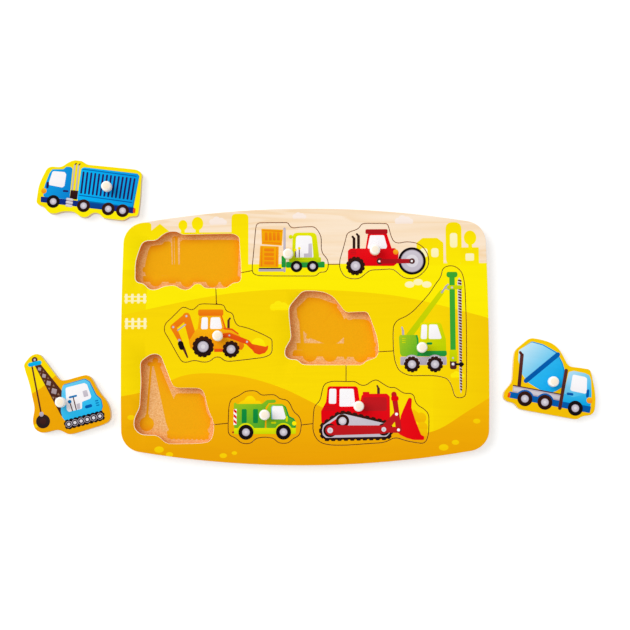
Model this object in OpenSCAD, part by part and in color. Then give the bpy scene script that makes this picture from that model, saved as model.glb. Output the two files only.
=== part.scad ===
/* [Board] */
// Width of the board across its middle
board_w = 300; // [285:1:360]
// Height of the board down its middle
board_h = 210; // [200:1:260]
// Bulge of the two short sides beyond their corners
side_bow = 2; // [1:0.5:8]
// Bulge of the two long sides beyond their corners
long_bow = 14; // [6:0.5:22]
// Radius of the board's four corners
corner_r = 17.5; // [8:0.5:30]
// Thickness of the printed plywood panel, and of every piece sawn out of it
panel_t = 6; // [4:0.5:9]
// Thickness of the backing board that closes the recesses
backing_t = 3; // [2:0.5:6]
// Wood left beside the three pieces of the middle row, edges and webs together
row_wood = 77; // [70:1:84]
// Wood left above, between and below the three pieces of the middle column
column_wood = 62.5; // [56:0.5:68]

/* [Saw cuts] */
// Width of the slot that the saw blade leaves round each piece
kerf = 0.6; // [0.4:0.1:1.2]
// Diameter of the hole where the blade is threaded through the panel
thread_hole_d = 1.6; // [1.2:0.1:3]

/* [Knobs] */
// Diameter of the turned knob
knob_d = 8.5; // [7.5:0.1:10]
// Height of the knob above its plate
knob_h = 9; // [8:0.5:14]
// Diameter of the neck that stands on the plate
neck_d = 6; // [5:0.1:7]
// Height of the neck below the knob's swell
neck_h = 2; // [1:0.1:2.5]
// Rounding of the knob's upper rim
rim_r = 1.8; // [1:0.1:3]
// Radius of the knob's domed top
dome_r = 16; // [10:0.5:20]
// Diameter of the tenon that is glued into the plate
tenon_d = 4; // [3:0.1:4.5]
// Wood left under the tenon's bore
bore_floor = 1.5; // [0.8:0.1:2]
// Room for glue round the tenon and under it
glue_gap = 0.05; // [0.02:0.01:0.1]

/* [Container truck] */
// Width of the container truck's cut-out line
truck_w = 86; // [80:0.5:90]
// Height of the container truck's cut-out line
truck_h = 47.5; // [44:0.5:50]
// Turn of the container truck where it lies beside the board, in degrees
truck_turn = -7; // [-15:1:20]

/* [Forklift] */
// Width of the forklift's cut-out line
forklift_w = 62.5; // [58:0.5:65]
// Height of the forklift's cut-out line
forklift_h = 44.5; // [41:0.5:47]

/* [Road roller] */
// Width of the road roller's cut-out line
roller_w = 73; // [68:0.5:76]
// Height of the road roller's cut-out line
roller_h = 46; // [43:0.5:48]

/* [Backhoe loader] */
// Width of the backhoe loader's cut-out line
backhoe_w = 88; // [82:0.5:91]
// Height of the backhoe loader's cut-out line
backhoe_h = 48; // [44:0.5:51]

/* [Drilling rig] */
// Width of the drilling rig's cut-out line
drill_w = 60; // [56:0.5:63]
// Height of the drilling rig's cut-out line
drill_h = 108; // [100:0.5:111]

/* [Wrecking crane] */
// Width of the wrecking crane's cut-out line
crane_w = 63.5; // [59:0.5:66]
// Height of the wrecking crane's cut-out line
crane_h = 71.5; // [68:0.5:75]
// Turn of the wrecking crane where it lies beside the board, in degrees
crane_turn = 16; // [-25:1:25]

/* [Concrete mixer] */
// Width of the concrete mixer's cut-out line
mixer_w = 75; // [70:0.5:78]
// Height of the concrete mixer's cut-out line
mixer_h = 60; // [56:0.5:63]
// Turn of the concrete mixer where it lies beside the board, in degrees
mixer_turn = -10; // [-20:1:20]

/* [Dump truck] */
// Width of the dump truck's cut-out line
dumper_w = 60; // [56:0.5:62]
// Height of the dump truck's cut-out line
dumper_h = 43; // [40:0.5:46]

/* [Bulldozer] */
// Width of the bulldozer's cut-out line
dozer_w = 94; // [88:0.5:97]
// Height of the bulldozer's cut-out line
dozer_h = 53; // [49:0.5:55]

/* [Hidden] */
// Furthest that a straight facet may lie from the true curve
flat_tol = 0.03;
// Two outline points nearer than this are one point
same_point = flat_tol / 10;
// A corner that turns less than this, in degrees, stays sharp
least_turn = 1;
$fn = 48;

// Each saw line is a loop of soft corners, counter-clockwise, as shares of the piece's width and height
truck_line_shares = [
    [1, 0.12], [1, 0.45], [0.985, 0.75], [0.985, 0.9], [0.93, 0.955], [0.84, 0.955],
    [0.5, 0.945], [0.44, 0.94], [0.39, 1], [0.31, 1], [0.25, 0.94], [0.195, 0.84],
    [0.1, 0.84], [0.06, 0.8], [0.03, 0.66], [0, 0.47], [0, 0.13], [0.08, 0.115],
    [0.13, 0.005], [0.2, 0], [0.27, 0.065], [0.38, 0.08], [0.44, 0], [0.51, 0],
    [0.56, 0.1], [0.62, 0.105], [0.66, 0.025], [0.74, 0.025], [0.87, 0.025], [0.92, 0.115]];
forklift_line_shares = [
    [1, 0.3], [0.93, 0.41], [0.91, 0.5], [0.91, 0.745], [0.85, 0.88], [0.81, 0.92],
    [0.74, 0.92], [0.6, 0.91], [0.55, 0.895], [0.5, 0.92], [0.475, 1], [0.4, 1],
    [0.16, 1], [0.06, 0.995], [0.045, 0.87], [0.03, 0.595], [0, 0.15], [0.01, 0.05],
    [0.08, 0.012], [0.3, 0.005], [0.84, 0], [0.885, 0.07], [0.97, 0.075], [1, 0.15]];
roller_line_shares = [
    [1, 0.24], [1, 0.415], [0.94, 0.57], [0.86, 0.645], [0.75, 0.665], [0.66, 0.635],
    [0.61, 0.665], [0.58, 0.765], [0.555, 0.93], [0.54, 0.99], [0.49, 0.995], [0.29, 1],
    [0.25, 0.985], [0.21, 0.895], [0.12, 0.85], [0.085, 0.81], [0.05, 0.59], [0, 0.33],
    [0, 0.185], [0.05, 0.045], [0.12, 0], [0.22, 0], [0.28, 0.075], [0.34, 0.155],
    [0.42, 0.16], [0.6, 0.175], [0.66, 0.09], [0.72, 0.01], [0.8, -0.005], [0.87, 0.02],
    [0.95, 0.12]];
backhoe_line_shares = [
    [1, 0.38], [0.97, 0.42], [0.86, 0.52], [0.76, 0.59], [0.68, 0.62], [0.65, 0.7],
    [0.635, 0.84], [0.57, 0.87], [0.555, 0.98], [0.49, 0.99], [0.36, 1], [0.32, 0.99],
    [0.27, 0.9], [0.235, 0.9], [0.2, 0.935], [0.165, 0.945], [0.06, 0.75], [0, 0.65],
    [0, 0.52], [0.03, 0.44], [0.13, 0.11], [0.165, 0.01], [0.21, 0], [0.28, 0.04],
    [0.36, 0], [0.42, 0.01], [0.47, 0.09], [0.52, 0.09], [0.56, 0.02], [0.62, 0.015],
    [0.93, 0.08], [1, 0.14]];
drill_line_shares = [
    [0.8, 0.06], [0.83, 0.005], [0.9, -0.003], [0.97, 0.01], [0.985, 0.07], [0.995, 0.3],
    [1, 0.6], [0.985, 0.87], [0.95, 0.95], [0.88, 0.99], [0.79, 1.003], [0.69, 0.985],
    [0.66, 0.91], [0.6, 0.87], [0.5, 0.785], [0.3, 0.665], [0.2, 0.62], [0.07, 0.59],
    [0.01, 0.55], [0, 0.48], [0.005, 0.35], [0.025, 0.27], [0.07, 0.21], [0.15, 0.18],
    [0.25, 0.165], [0.4, 0.168], [0.6, 0.165], [0.73, 0.145], [0.78, 0.1]];
crane_line_shares = [
    [0.85, 0], [0.965, 0.02], [1.002, 0.13], [0.995, 0.24], [0.935, 0.36], [0.905, 0.44],
    [0.89, 0.53], [0.84, 0.61], [0.74, 0.615], [0.55, 0.615], [0.48, 0.63], [0.44, 0.71],
    [0.36, 0.89], [0.31, 1], [0.2, 1.005], [0.12, 0.955], [0.07, 0.92], [0.07, 0.84],
    [0.08, 0.7], [0.065, 0.4], [0.02, 0.32], [-0.005, 0.26], [-0.005, 0.17], [0.07, 0.105],
    [0.16, 0.095], [0.295, 0.095], [0.4, 0], [0.5, -0.005]];
mixer_line_shares = [
    [1, 0.1], [1.003, 0.28], [0.97, 0.45], [0.91, 0.65], [0.885, 0.71], [0.8, 0.71],
    [0.65, 0.7], [0.6, 0.79], [0.52, 0.92], [0.43, 0.98], [0.32, 1], [0.19, 1],
    [0.13, 0.915], [0.045, 0.79], [0.045, 0.68], [0.07, 0.36], [0.03, 0.275], [0, 0.21],
    [0, 0.12], [0.05, 0.08], [0.13, 0.08], [0.18, 0.01], [0.25, 0.005], [0.75, 0],
    [0.83, 0], [0.88, 0.06]];
dumper_line_shares = [
    [0.995, 0.38], [0.97, 0.5], [0.88, 0.61], [0.85, 0.73], [0.8, 0.82], [0.7, 0.835],
    [0.64, 0.92], [0.53, 0.915], [0.45, 0.905], [0.39, 0.99], [0.3, 0.995], [0.23, 0.98],
    [0.14, 0.89], [0.04, 0.84], [0.013, 0.7], [0.003, 0.3], [0.01, 0.165], [0.11, 0.105],
    [0.17, 0.02], [0.24, -0.005], [0.32, 0.01], [0.38, 0.1], [0.5, 0.125], [0.62, 0.1],
    [0.68, 0.015], [0.75, 0], [0.82, 0.01], [0.88, 0.09], [0.965, 0.15], [0.985, 0.25]];
dozer_line_shares = [
    [1, 0.3], [1, 0.47], [0.96, 0.55], [0.89, 0.62], [0.87, 0.79], [0.79, 0.785],
    [0.75, 0.83], [0.715, 0.88], [0.66, 0.875], [0.6, 0.945], [0.55, 1.005], [0.5, 0.965],
    [0.46, 0.91], [0.41, 0.915], [0.37, 0.975], [0.3, 0.97], [0.17, 0.98], [0.1, 0.94],
    [0.08, 0.82], [0.065, 0.68], [0.015, 0.6], [0.005, 0.45], [0, 0.2], [0.05, 0.05],
    [0.14, 0.005], [0.28, 0], [0.45, 0.022], [0.62, 0.04], [0.71, 0.125], [0.79, 0.07],
    [0.89, 0.035], [0.965, 0.02], [0.995, 0.15]];

// Middle of each piece's cut-out, in shares of the board's size
truck_place_shares = [-0.318, 0.297];
forklift_place_shares = [-0.039, 0.339];
roller_place_shares = [0.218, 0.331];
backhoe_place_shares = [-0.235, 0.012];
drill_place_shares = [0.34, 0.014];
crane_place_shares = [-0.353, -0.2424];
mixer_place_shares = [0.073, 0.03];
dumper_place_shares = [-0.108, -0.314];
dozer_place_shares = [0.178, -0.298];

// Middle of each piece's knob, in shares of the piece's size
truck_knob_shares = [0.67, 0.57];
forklift_knob_shares = [0.475, 0.395];
roller_knob_shares = [0.395, 0.5];
backhoe_knob_shares = [0.5, 0.44];
drill_knob_shares = [0.385, 0.375];
crane_knob_shares = [0.425, 0.38];
mixer_knob_shares = [0.5, 0.45];
dumper_knob_shares = [0.5, 0.535];
dozer_knob_shares = [0.395, 0.59];

// The pieces' sizes are fitted together to the room that the board leaves in its middle row and column
fit_shares = [
    (board_w - row_wood) / (backhoe_w + mixer_w + drill_w),
    (board_h - column_wood) / (forklift_h + mixer_h + dumper_h)];

function fitted(w, h) = [w * fit_shares.x, h * fit_shares.y];

// A piece is [saw line, size, middle on the board in shares of its size, knob in shares of the piece]
TRUCK = [
    truck_line_shares, fitted(truck_w, truck_h),
    truck_place_shares, truck_knob_shares];
FORKLIFT = [
    forklift_line_shares, fitted(forklift_w, forklift_h),
    forklift_place_shares, forklift_knob_shares];
ROLLER = [
    roller_line_shares, fitted(roller_w, roller_h),
    roller_place_shares, roller_knob_shares];
BACKHOE = [
    backhoe_line_shares, fitted(backhoe_w, backhoe_h),
    backhoe_place_shares, backhoe_knob_shares];
DRILL = [
    drill_line_shares, fitted(drill_w, drill_h),
    drill_place_shares, drill_knob_shares];
CRANE = [
    crane_line_shares, fitted(crane_w, crane_h),
    crane_place_shares, crane_knob_shares];
MIXER = [
    mixer_line_shares, fitted(mixer_w, mixer_h),
    mixer_place_shares, mixer_knob_shares];
DUMPER = [
    dumper_line_shares, fitted(dumper_w, dumper_h),
    dumper_place_shares, dumper_knob_shares];
DOZER = [
    dozer_line_shares, fitted(dozer_w, dozer_h),
    dozer_place_shares, dozer_knob_shares];
PIECES = [TRUCK, FORKLIFT, ROLLER, BACKHOE, DRILL, CRANE, MIXER, DUMPER, DOZER];

// Where three pieces lie beside the board, in shares of the board's size
truck_rest_shares = [-0.593, 0.583];
crane_rest_shares = [-0.6525, -0.2093];
mixer_rest_shares = [0.672, -0.169];

// The saw runs on from one piece to the next along these pairs
LINKED = [
    [BACKHOE, TRUCK], [TRUCK, FORKLIFT], [FORKLIFT, ROLLER], [CRANE, DUMPER],
    [DUMPER, DOZER], [DOZER, MIXER], [MIXER, DRILL]];

// Where each such cut leaves the first piece and meets the second, in shares of the two pieces
link_shares = [
    [[0.483, 0.995], [0.765, 0.025]],
    [[1, 0.28], [0.01, 0.11]],
    [[1, 0.215], [0.005, 0.263]],
    [[1, 0.203], [0.005, 0.384]],
    [[0.99, 0.345], [0.005, 0.332]],
    [[0.289, 0.97], [0.657, 0.005]],
    [[1, 0.17], [0.01, 0.354]]];

// Points along an arc, spaced so that no facet strays from it by more than flat_tol
function arc(centre, r, from, to) =
    let(n = max(1, ceil(r * abs(to - from) * PI / 180 / (2 * sqrt(2 * r * flat_tol)))))
    [for (i = [0:n]) centre + r * [cos(from + (to - from) * i / n), sin(from + (to - from) * i / n)]];

// A closed loop without doubled points
function single(points) = let(n = len(points))
    [for (i = [0:n - 1]) if (norm(points[(i + 1) % n] - points[i]) > same_point) points[i]];

// The round that softens corner b, moved outwards by grow; it takes half of the shorter side
function soft_corner(a, b, c, grow) =
    let(
        u = (b - a) / norm(b - a),
        v = (c - b) / norm(c - b),
        turn = atan2(u.x * v.y - u.y * v.x, u.x * v.x + u.y * v.y),
        reach = min(norm(b - a), norm(c - b)) / 2,
        side = turn > 0 ? 1 : -1)
    abs(turn) < least_turn ? [b + grow * [u.y, -u.x]] :
    let(
        r = reach / tan(abs(turn) / 2),
        centre = b - reach * u + side * r * [-u.y, u.x],
        from = atan2(side * -u.x, side * u.y))
    arc(centre, max(r + side * grow, same_point), from, from + turn);

// A piece's saw line about its own middle, moved outwards by grow
function saw_line(piece, grow) =
    let(
        corners = [for (p = piece[0]) [(p.x - 1 / 2) * piece[1].x, (p.y - 1 / 2) * piece[1].y]],
        n = len(corners))
    single([for (i = [0:n - 1])
        each soft_corner(corners[(i + n - 1) % n], corners[i], corners[(i + 1) % n], grow)]);

// A place given in shares of the board's size
function on_board(shares) = [shares.x * board_w, shares.y * board_h];

// A point of a piece, given in shares of the piece, about the piece's own middle
function on_piece(piece, shares) = [(shares.x - 1 / 2) * piece[1].x, (shares.y - 1 / 2) * piece[1].y];

// The same point where the piece sits in the board
function in_board(piece, shares) = on_board(piece[2]) + on_piece(piece, shares);

// The board's barrel outline: two shallow arcs each way, joined by tangent corner arcs
function board_quarter() =
    let(
        w = board_w / 2,
        h = board_h / 2,
        side_r = (h * h + side_bow * side_bow) / (2 * side_bow),
        long_r = (w * w + long_bow * long_bow) / (2 * long_bow),
        side_c = [w - side_r, 0],
        long_c = [0, h - long_r],
        gap = long_c - side_c,
        span = norm(gap),
        p = side_r - corner_r,
        q = long_r - corner_r,
        along = (p * p - q * q + span * span) / (2 * span),
        off = sqrt(p * p - along * along),
        corner_c = side_c + along * gap / span + off * [gap.y, -gap.x] / -span,
        low = atan2(corner_c.y - side_c.y, corner_c.x - side_c.x),
        high = atan2(corner_c.y - long_c.y, corner_c.x - long_c.x))
    [each arc(side_c, side_r, 0, low), each arc(corner_c, corner_r, low, high),
        each arc(long_c, long_r, high, 90)];

function board_line() =
    let(q = board_quarter(), n = len(q) - 1)
    single([
        each q,
        each [for (i = [n:-1:0]) [-q[i].x, q[i].y]],
        each [for (i = [0:n]) [-q[i].x, -q[i].y]],
        each [for (i = [n:-1:0]) [q[i].x, -q[i].y]]]);

// The knob's half profile, from the foot of its tenon to the middle of its dome
function knob_profile() =
    let(
        knob_r = knob_d / 2,
        neck_r = neck_d / 2,
        tenon_r = tenon_d / 2,
        tenon_l = panel_t - bore_floor - glue_gap,
        swell_r = knob_r - neck_r,
        dome_z = knob_h - dome_r,
        rim_c = [knob_r - rim_r, dome_z + sqrt(pow(dome_r - rim_r, 2) - pow(knob_r - rim_r, 2))],
        meet = atan2(rim_c.y - dome_z, rim_c.x))
    single([
        [0, -tenon_l], [tenon_r, -tenon_l], [tenon_r, 0], [neck_r, 0],
        each arc([neck_r, neck_h + swell_r], swell_r, -90, 0),
        each arc(rim_c, rim_r, 0, meet),
        each arc([0, dome_z], dome_r, meet, 90)]);

// One piece as sawn: a plate about its own middle, bored from above for the knob's tenon
module plate(piece) {
    difference() {
        linear_extrude(panel_t) polygon(saw_line(piece, -kerf / 2));
        translate([each on_piece(piece, piece[3]), bore_floor])
            cylinder(h = panel_t, d = tenon_d + 2 * glue_gap);
    }
}

// One turned knob, standing on its plate
module knob(piece) {
    translate([each on_piece(piece, piece[3]), panel_t]) rotate_extrude() polygon(knob_profile());
}

// Puts a piece in its recess, on the backing board
module seated(piece) {
    translate([each on_board(piece[2]), backing_t]) children();
}

// Lays a piece on the table beside the board
module laid(rest_shares, turn) {
    translate([each on_board(rest_shares), 0]) rotate(turn) children();
}

// One straight saw cut from one piece's line to the next
module link_cut(pair, ends) {
    start = in_board(pair[0], ends[0]);
    reach = in_board(pair[1], ends[1]) - start;
    translate(start) rotate(atan2(reach.y, reach.x))
        translate([-kerf / 2, -kerf / 2]) square([norm(reach) + kerf, kerf]);
}

module top_panel() {
    color("gold") translate([0, 0, backing_t]) linear_extrude(panel_t) difference() {
        polygon(board_line());
        for (piece = PIECES) translate(on_board(piece[2])) polygon(saw_line(piece, kerf / 2));
        for (i = [0:len(LINKED) - 1]) link_cut(LINKED[i], link_shares[i]);
        translate(in_board(LINKED[0][0], link_shares[0][0])) circle(d = thread_hole_d);
    }
}

module backing_board() {
    color("peru") linear_extrude(backing_t) polygon(board_line());
}

module container_truck_plate() color("dodgerblue") laid(truck_rest_shares, truck_turn) plate(TRUCK);
module container_truck_knob() color("antiquewhite") laid(truck_rest_shares, truck_turn) knob(TRUCK);
module forklift_plate() color("yellowgreen") seated(FORKLIFT) plate(FORKLIFT);
module forklift_knob() color("antiquewhite") seated(FORKLIFT) knob(FORKLIFT);
module road_roller_plate() color("crimson") seated(ROLLER) plate(ROLLER);
module road_roller_knob() color("antiquewhite") seated(ROLLER) knob(ROLLER);
module backhoe_loader_plate() color("darkorange") seated(BACKHOE) plate(BACKHOE);
module backhoe_loader_knob() color("antiquewhite") seated(BACKHOE) knob(BACKHOE);
module drilling_rig_plate() color("limegreen") seated(DRILL) plate(DRILL);
module drilling_rig_knob() color("antiquewhite") seated(DRILL) knob(DRILL);
module wrecking_crane_plate() color("deepskyblue") laid(crane_rest_shares, crane_turn) plate(CRANE);
module wrecking_crane_knob() color("antiquewhite") laid(crane_rest_shares, crane_turn) knob(CRANE);
module concrete_mixer_plate() color("skyblue") laid(mixer_rest_shares, mixer_turn) plate(MIXER);
module concrete_mixer_knob() color("antiquewhite") laid(mixer_rest_shares, mixer_turn) knob(MIXER);
module dump_truck_plate() color("seagreen") seated(DUMPER) plate(DUMPER);
module dump_truck_knob() color("antiquewhite") seated(DUMPER) knob(DUMPER);
module bulldozer_plate() color("red") seated(DOZER) plate(DOZER);
module bulldozer_knob() color("antiquewhite") seated(DOZER) knob(DOZER);

backing_board();
top_panel();
container_truck_plate();
container_truck_knob();
forklift_plate();
forklift_knob();
road_roller_plate();
road_roller_knob();
backhoe_loader_plate();
backhoe_loader_knob();
drilling_rig_plate();
drilling_rig_knob();
wrecking_crane_plate();
wrecking_crane_knob();
concrete_mixer_plate();
concrete_mixer_knob();
dump_truck_plate();
dump_truck_knob();
bulldozer_plate();
bulldozer_knob();
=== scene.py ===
# %% [markdown]
# This lesson dresses a wooden peg puzzle: a printed plywood board with nine sawn work vehicles, each
# lifted by a small turned knob. Six vehicles sit in their recesses, and three lie beside the board.
# The solid model comes in as a fixed frame, already in metres. Everything here is built round it.

# %% Load the frame
import bpy
import bmesh
import math
from mathutils import Matrix, Vector
from mathutils.geometry import delaunay_2d_cdt


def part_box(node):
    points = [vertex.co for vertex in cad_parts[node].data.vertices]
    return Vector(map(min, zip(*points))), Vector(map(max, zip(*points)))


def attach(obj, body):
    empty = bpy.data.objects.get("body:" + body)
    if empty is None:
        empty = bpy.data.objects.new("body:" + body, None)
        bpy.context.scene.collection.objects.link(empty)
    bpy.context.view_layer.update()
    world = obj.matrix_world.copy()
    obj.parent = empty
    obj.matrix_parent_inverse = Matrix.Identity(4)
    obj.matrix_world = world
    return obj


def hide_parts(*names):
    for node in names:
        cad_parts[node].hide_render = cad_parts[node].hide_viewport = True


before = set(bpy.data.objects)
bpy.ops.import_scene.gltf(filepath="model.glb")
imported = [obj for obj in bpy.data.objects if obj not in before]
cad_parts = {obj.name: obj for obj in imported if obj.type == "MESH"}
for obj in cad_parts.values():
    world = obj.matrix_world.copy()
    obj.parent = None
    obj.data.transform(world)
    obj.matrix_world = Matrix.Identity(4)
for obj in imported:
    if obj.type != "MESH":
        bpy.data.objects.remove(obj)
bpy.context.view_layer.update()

# %% [markdown]
# The photograph looks down from a metre above the table, and the camera isn't quite level: it leans a few
# degrees, so the board's near edge shows a sliver of its side. The turns are applied one after another
# about the camera's own axes, as matrices, because the order matters and a matrix product states it.

# %% Camera
MM = 0.001


def put(name, data):
    """An object of some data, linked to the scene."""
    made = bpy.data.objects.new(name, data)
    bpy.context.scene.collection.objects.link(made)
    return made


camera_place = Vector((18.3661, -85.2917, 1008.8642)) * MM
camera_turns = [(0.1018, "X"), (0.0098, "Y"), (-0.0046, "Z")]
camera_matrix = Matrix.Translation(camera_place)
for angle, axis in camera_turns:
    camera_matrix = camera_matrix @ Matrix.Rotation(angle, 4, axis)
camera_data = bpy.data.cameras.new("camera")
camera_data.sensor_width = 36
camera_data.lens = 70.34
camera = put("camera", camera_data)
camera.matrix_world = camera_matrix
bpy.context.scene.camera = camera
bpy.context.scene.view_settings.view_transform = "Standard"
print("camera height in mm:", round(camera_place.z / MM))

# %% [markdown]
# Materials here are small node trees. A few helpers keep them short to write: one makes a node, and each of
# its sockets takes either a plain value or a link from another socket. Colours are written as they look
# on a screen, from 0 to 255, and turned into the linear light that the renderer works with.

# %% Helpers for materials
def linear(value):
    """A channel from 0 to 255 as the light it stands for, by the curve of a plain screen."""
    share = value / 255
    return share / 12.92 if share <= 0.04045 else ((share + 0.055) / 1.055) ** 2.4


def colour(red, green, blue, alpha=1.0):
    return (linear(red), linear(green), linear(blue), alpha)


def give(tree, socket, value):
    """Set a socket to a plain value, or link another socket to it."""
    if isinstance(value, bpy.types.NodeSocket):
        tree.links.new(value, socket)
    else:
        socket.default_value = value


def add(tree, kind, *values, **named):
    """A new node. Values go to its first sockets in turn, and named ones to its settings or sockets."""
    node = tree.nodes.new(kind)
    for key, value in named.items():
        if hasattr(node, key):
            setattr(node, key, value)
        else:
            give(tree, node.inputs[key.replace("_", " ")], value)
    for socket, value in zip(node.inputs, values):
        give(tree, socket, value)
    return node


def maths(tree, operation, *values):
    return add(tree, "ShaderNodeMath", *values, operation=operation).outputs[0]


def new_material(name, **named):
    """A material, its node tree and its shader, whose sockets take the named values."""
    material = bpy.data.materials.new(name)
    material.use_nodes = True
    shader = material.node_tree.nodes["Principled BSDF"]
    for key, value in named.items():
        shader.inputs[key.replace("_", " ")].default_value = value
    return material, material.node_tree, shader


WHITE = (1, 1, 1, 1)
print("a mid grey of 128 is", round(linear(128), 3), "in linear light")

# %% [markdown]
# The table is a plain white sheet, and the light is a broad soft lamp from the upper left with an even
# white surround. Where the camera sees the sheet or the surround, straight or in a gloss, both are lifted
# to white. That lift lights nothing, so the pieces keep their soft shadows and their written colours.

# %% Table and lamps
TABLE_GLOW = 0.42
TABLE_DROP = 0.0002
TABLE_HALF = 8
SURROUND_LIGHT = 0.64


def seen_directly(tree):
    """A socket that is 1 for the camera's own rays and for those by gloss or through glass, and else 0."""
    path = add(tree, "ShaderNodeLightPath").outputs
    glossy = maths(tree, "MAXIMUM", path["Is Glossy Ray"], path["Is Transmission Ray"])
    return maths(tree, "MAXIMUM", path["Is Camera Ray"], glossy)


table_material, tree, shader = new_material("white_table", Base_Color=(0.7, 0.7, 0.7, 1), Roughness=0.9,
                                            Emission_Color=WHITE)
glow = maths(tree, "MULTIPLY", seen_directly(tree), TABLE_GLOW)
give(tree, shader.inputs["Emission Strength"], glow)
table_mesh = bpy.data.meshes.new("table")
corners = [(x * TABLE_HALF, y * TABLE_HALF, 0) for x, y in ((-1, -1), (1, -1), (1, 1), (-1, 1))]
table_mesh.from_pydata(corners, [], [(0, 1, 2, 3)])
table_mesh.materials.append(table_material)
table = put("table", table_mesh)
table.location.z = -TABLE_DROP

world = bpy.data.worlds.new("surround")
bpy.context.scene.world = world
world.use_nodes = True
tree = world.node_tree
background = tree.nodes["Background"]
give(tree, background.inputs["Color"], WHITE)
strength = add(tree, "ShaderNodeMapRange", seen_directly(tree), To_Min=SURROUND_LIGHT)
give(tree, background.inputs["Strength"], strength.outputs[0])

lamp_data = bpy.data.lights.new("soft_lamp", "SUN")
lamp_data.energy = 1.8
lamp_data.angle = 0.9
lamp = put("soft_lamp", lamp_data)
lamp_heading = Vector((1.08, -0.62, -1))
lamp.rotation_euler = lamp_heading.to_track_quat("-Z", "Y").to_euler()
print("lamps: one, and the white surround")

# %% [markdown]
# The prints on such a puzzle are flat vector pictures: areas of one ink with softly rounded corners. A
# picture here is a list of such areas in painter's order, in millimetres on the board, each an ink and an
# outline. A few small tools draw every outline: a soft polygon, a block, a disc, a limb and a lugged path.

# %% Drawing tools
STRAIGHT = 0.05
ARC_STEP = 0.3
LIMB_STEPS = 8
LUG = ((0.0, 0), (0.05, 0.75), (0.13, 1), (0.58, 1), (0.66, 0.75), (0.71, 0), (0.86, 0))


def sides(loop):
    """The sides of a closed loop, each as its two ends."""
    return zip(loop, loop[1:] + loop[:1])


def soft(corners, radius):
    """A closed outline whose corners are rounded by the radius, or by what its sides allow."""
    outline = []
    for i, (corner, after) in enumerate(sides(corners)):
        here = Vector(corner)
        back = Vector(corners[i - 1]) - here
        ahead = Vector(after) - here
        turn = math.pi - back.angle(ahead)
        if turn < STRAIGHT:
            outline.append(tuple(here))
            continue
        reach = min(radius * math.tan(turn / 2), 0.49 * back.length, 0.49 * ahead.length)
        start = here + back.normalized() * reach
        end = here + ahead.normalized() * reach
        steps = max(2, math.ceil(turn / ARC_STEP))
        for step in range(steps + 1):
            t = step / steps
            outline.append(tuple(start * (1 - t) ** 2 + here * 2 * t * (1 - t) + end * t * t))
    return outline


def block(left, low, right, high, radius=0.8):
    return soft([(left, low), (right, low), (right, high), (left, high)], radius)


def disc(x, y, radius, wide=1.0):
    count = max(16, int(radius * 7))
    turns = [2 * math.pi * i / count for i in range(count)]
    return [(x + wide * radius * math.cos(a), y + radius * math.sin(a)) for a in turns]


def limb(start, end, width, end_width=None):
    """A straight bar with round ends."""
    a = Vector(start)
    b = Vector(end)
    heading = math.atan2(b.y - a.y, b.x - a.x)
    outline = []
    for centre, size, first in ((b, end_width or width, -0.5), (a, width, 0.5)):
        for step in range(LIMB_STEPS + 1):
            angle = heading + math.pi * (first + step / LIMB_STEPS)
            outline.append((centre.x + size / 2 * math.cos(angle), centre.y + size / 2 * math.sin(angle)))
    return outline


def toothed(path, depth, teeth):
    """A closed path, run to the left, with rounded lugs standing out from it, as on a tyre or a crawler."""
    walk = [(Vector(a), Vector(b) - Vector(a)) for a, b in sides(path)]
    pitch = sum(side.length for _, side in walk) / teeth
    outline = []
    for tooth in range(teeth):
        for share, lift in LUG:
            along = (tooth + share) * pitch
            i = 0
            while along > walk[i][1].length:
                along -= walk[i][1].length
                i += 1
            heading = walk[i][1].normalized()
            place = walk[i][0] + heading * along + Vector((heading.y, -heading.x)) * (depth * lift)
            outline.append(tuple(place))
    return outline


print("points in a soft block:", len(block(0, 0, 10, 10)))

# %% [markdown]
# Screen-printed inks are opaque and bright. Each ink here has two shades, at the two ends of the area that
# it fills, because the real print is softly graded. The grade runs from the top to the foot, or along an
# angle where a third value gives one. Bare wood needs no ink at all: it shows where nothing is printed.

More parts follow.
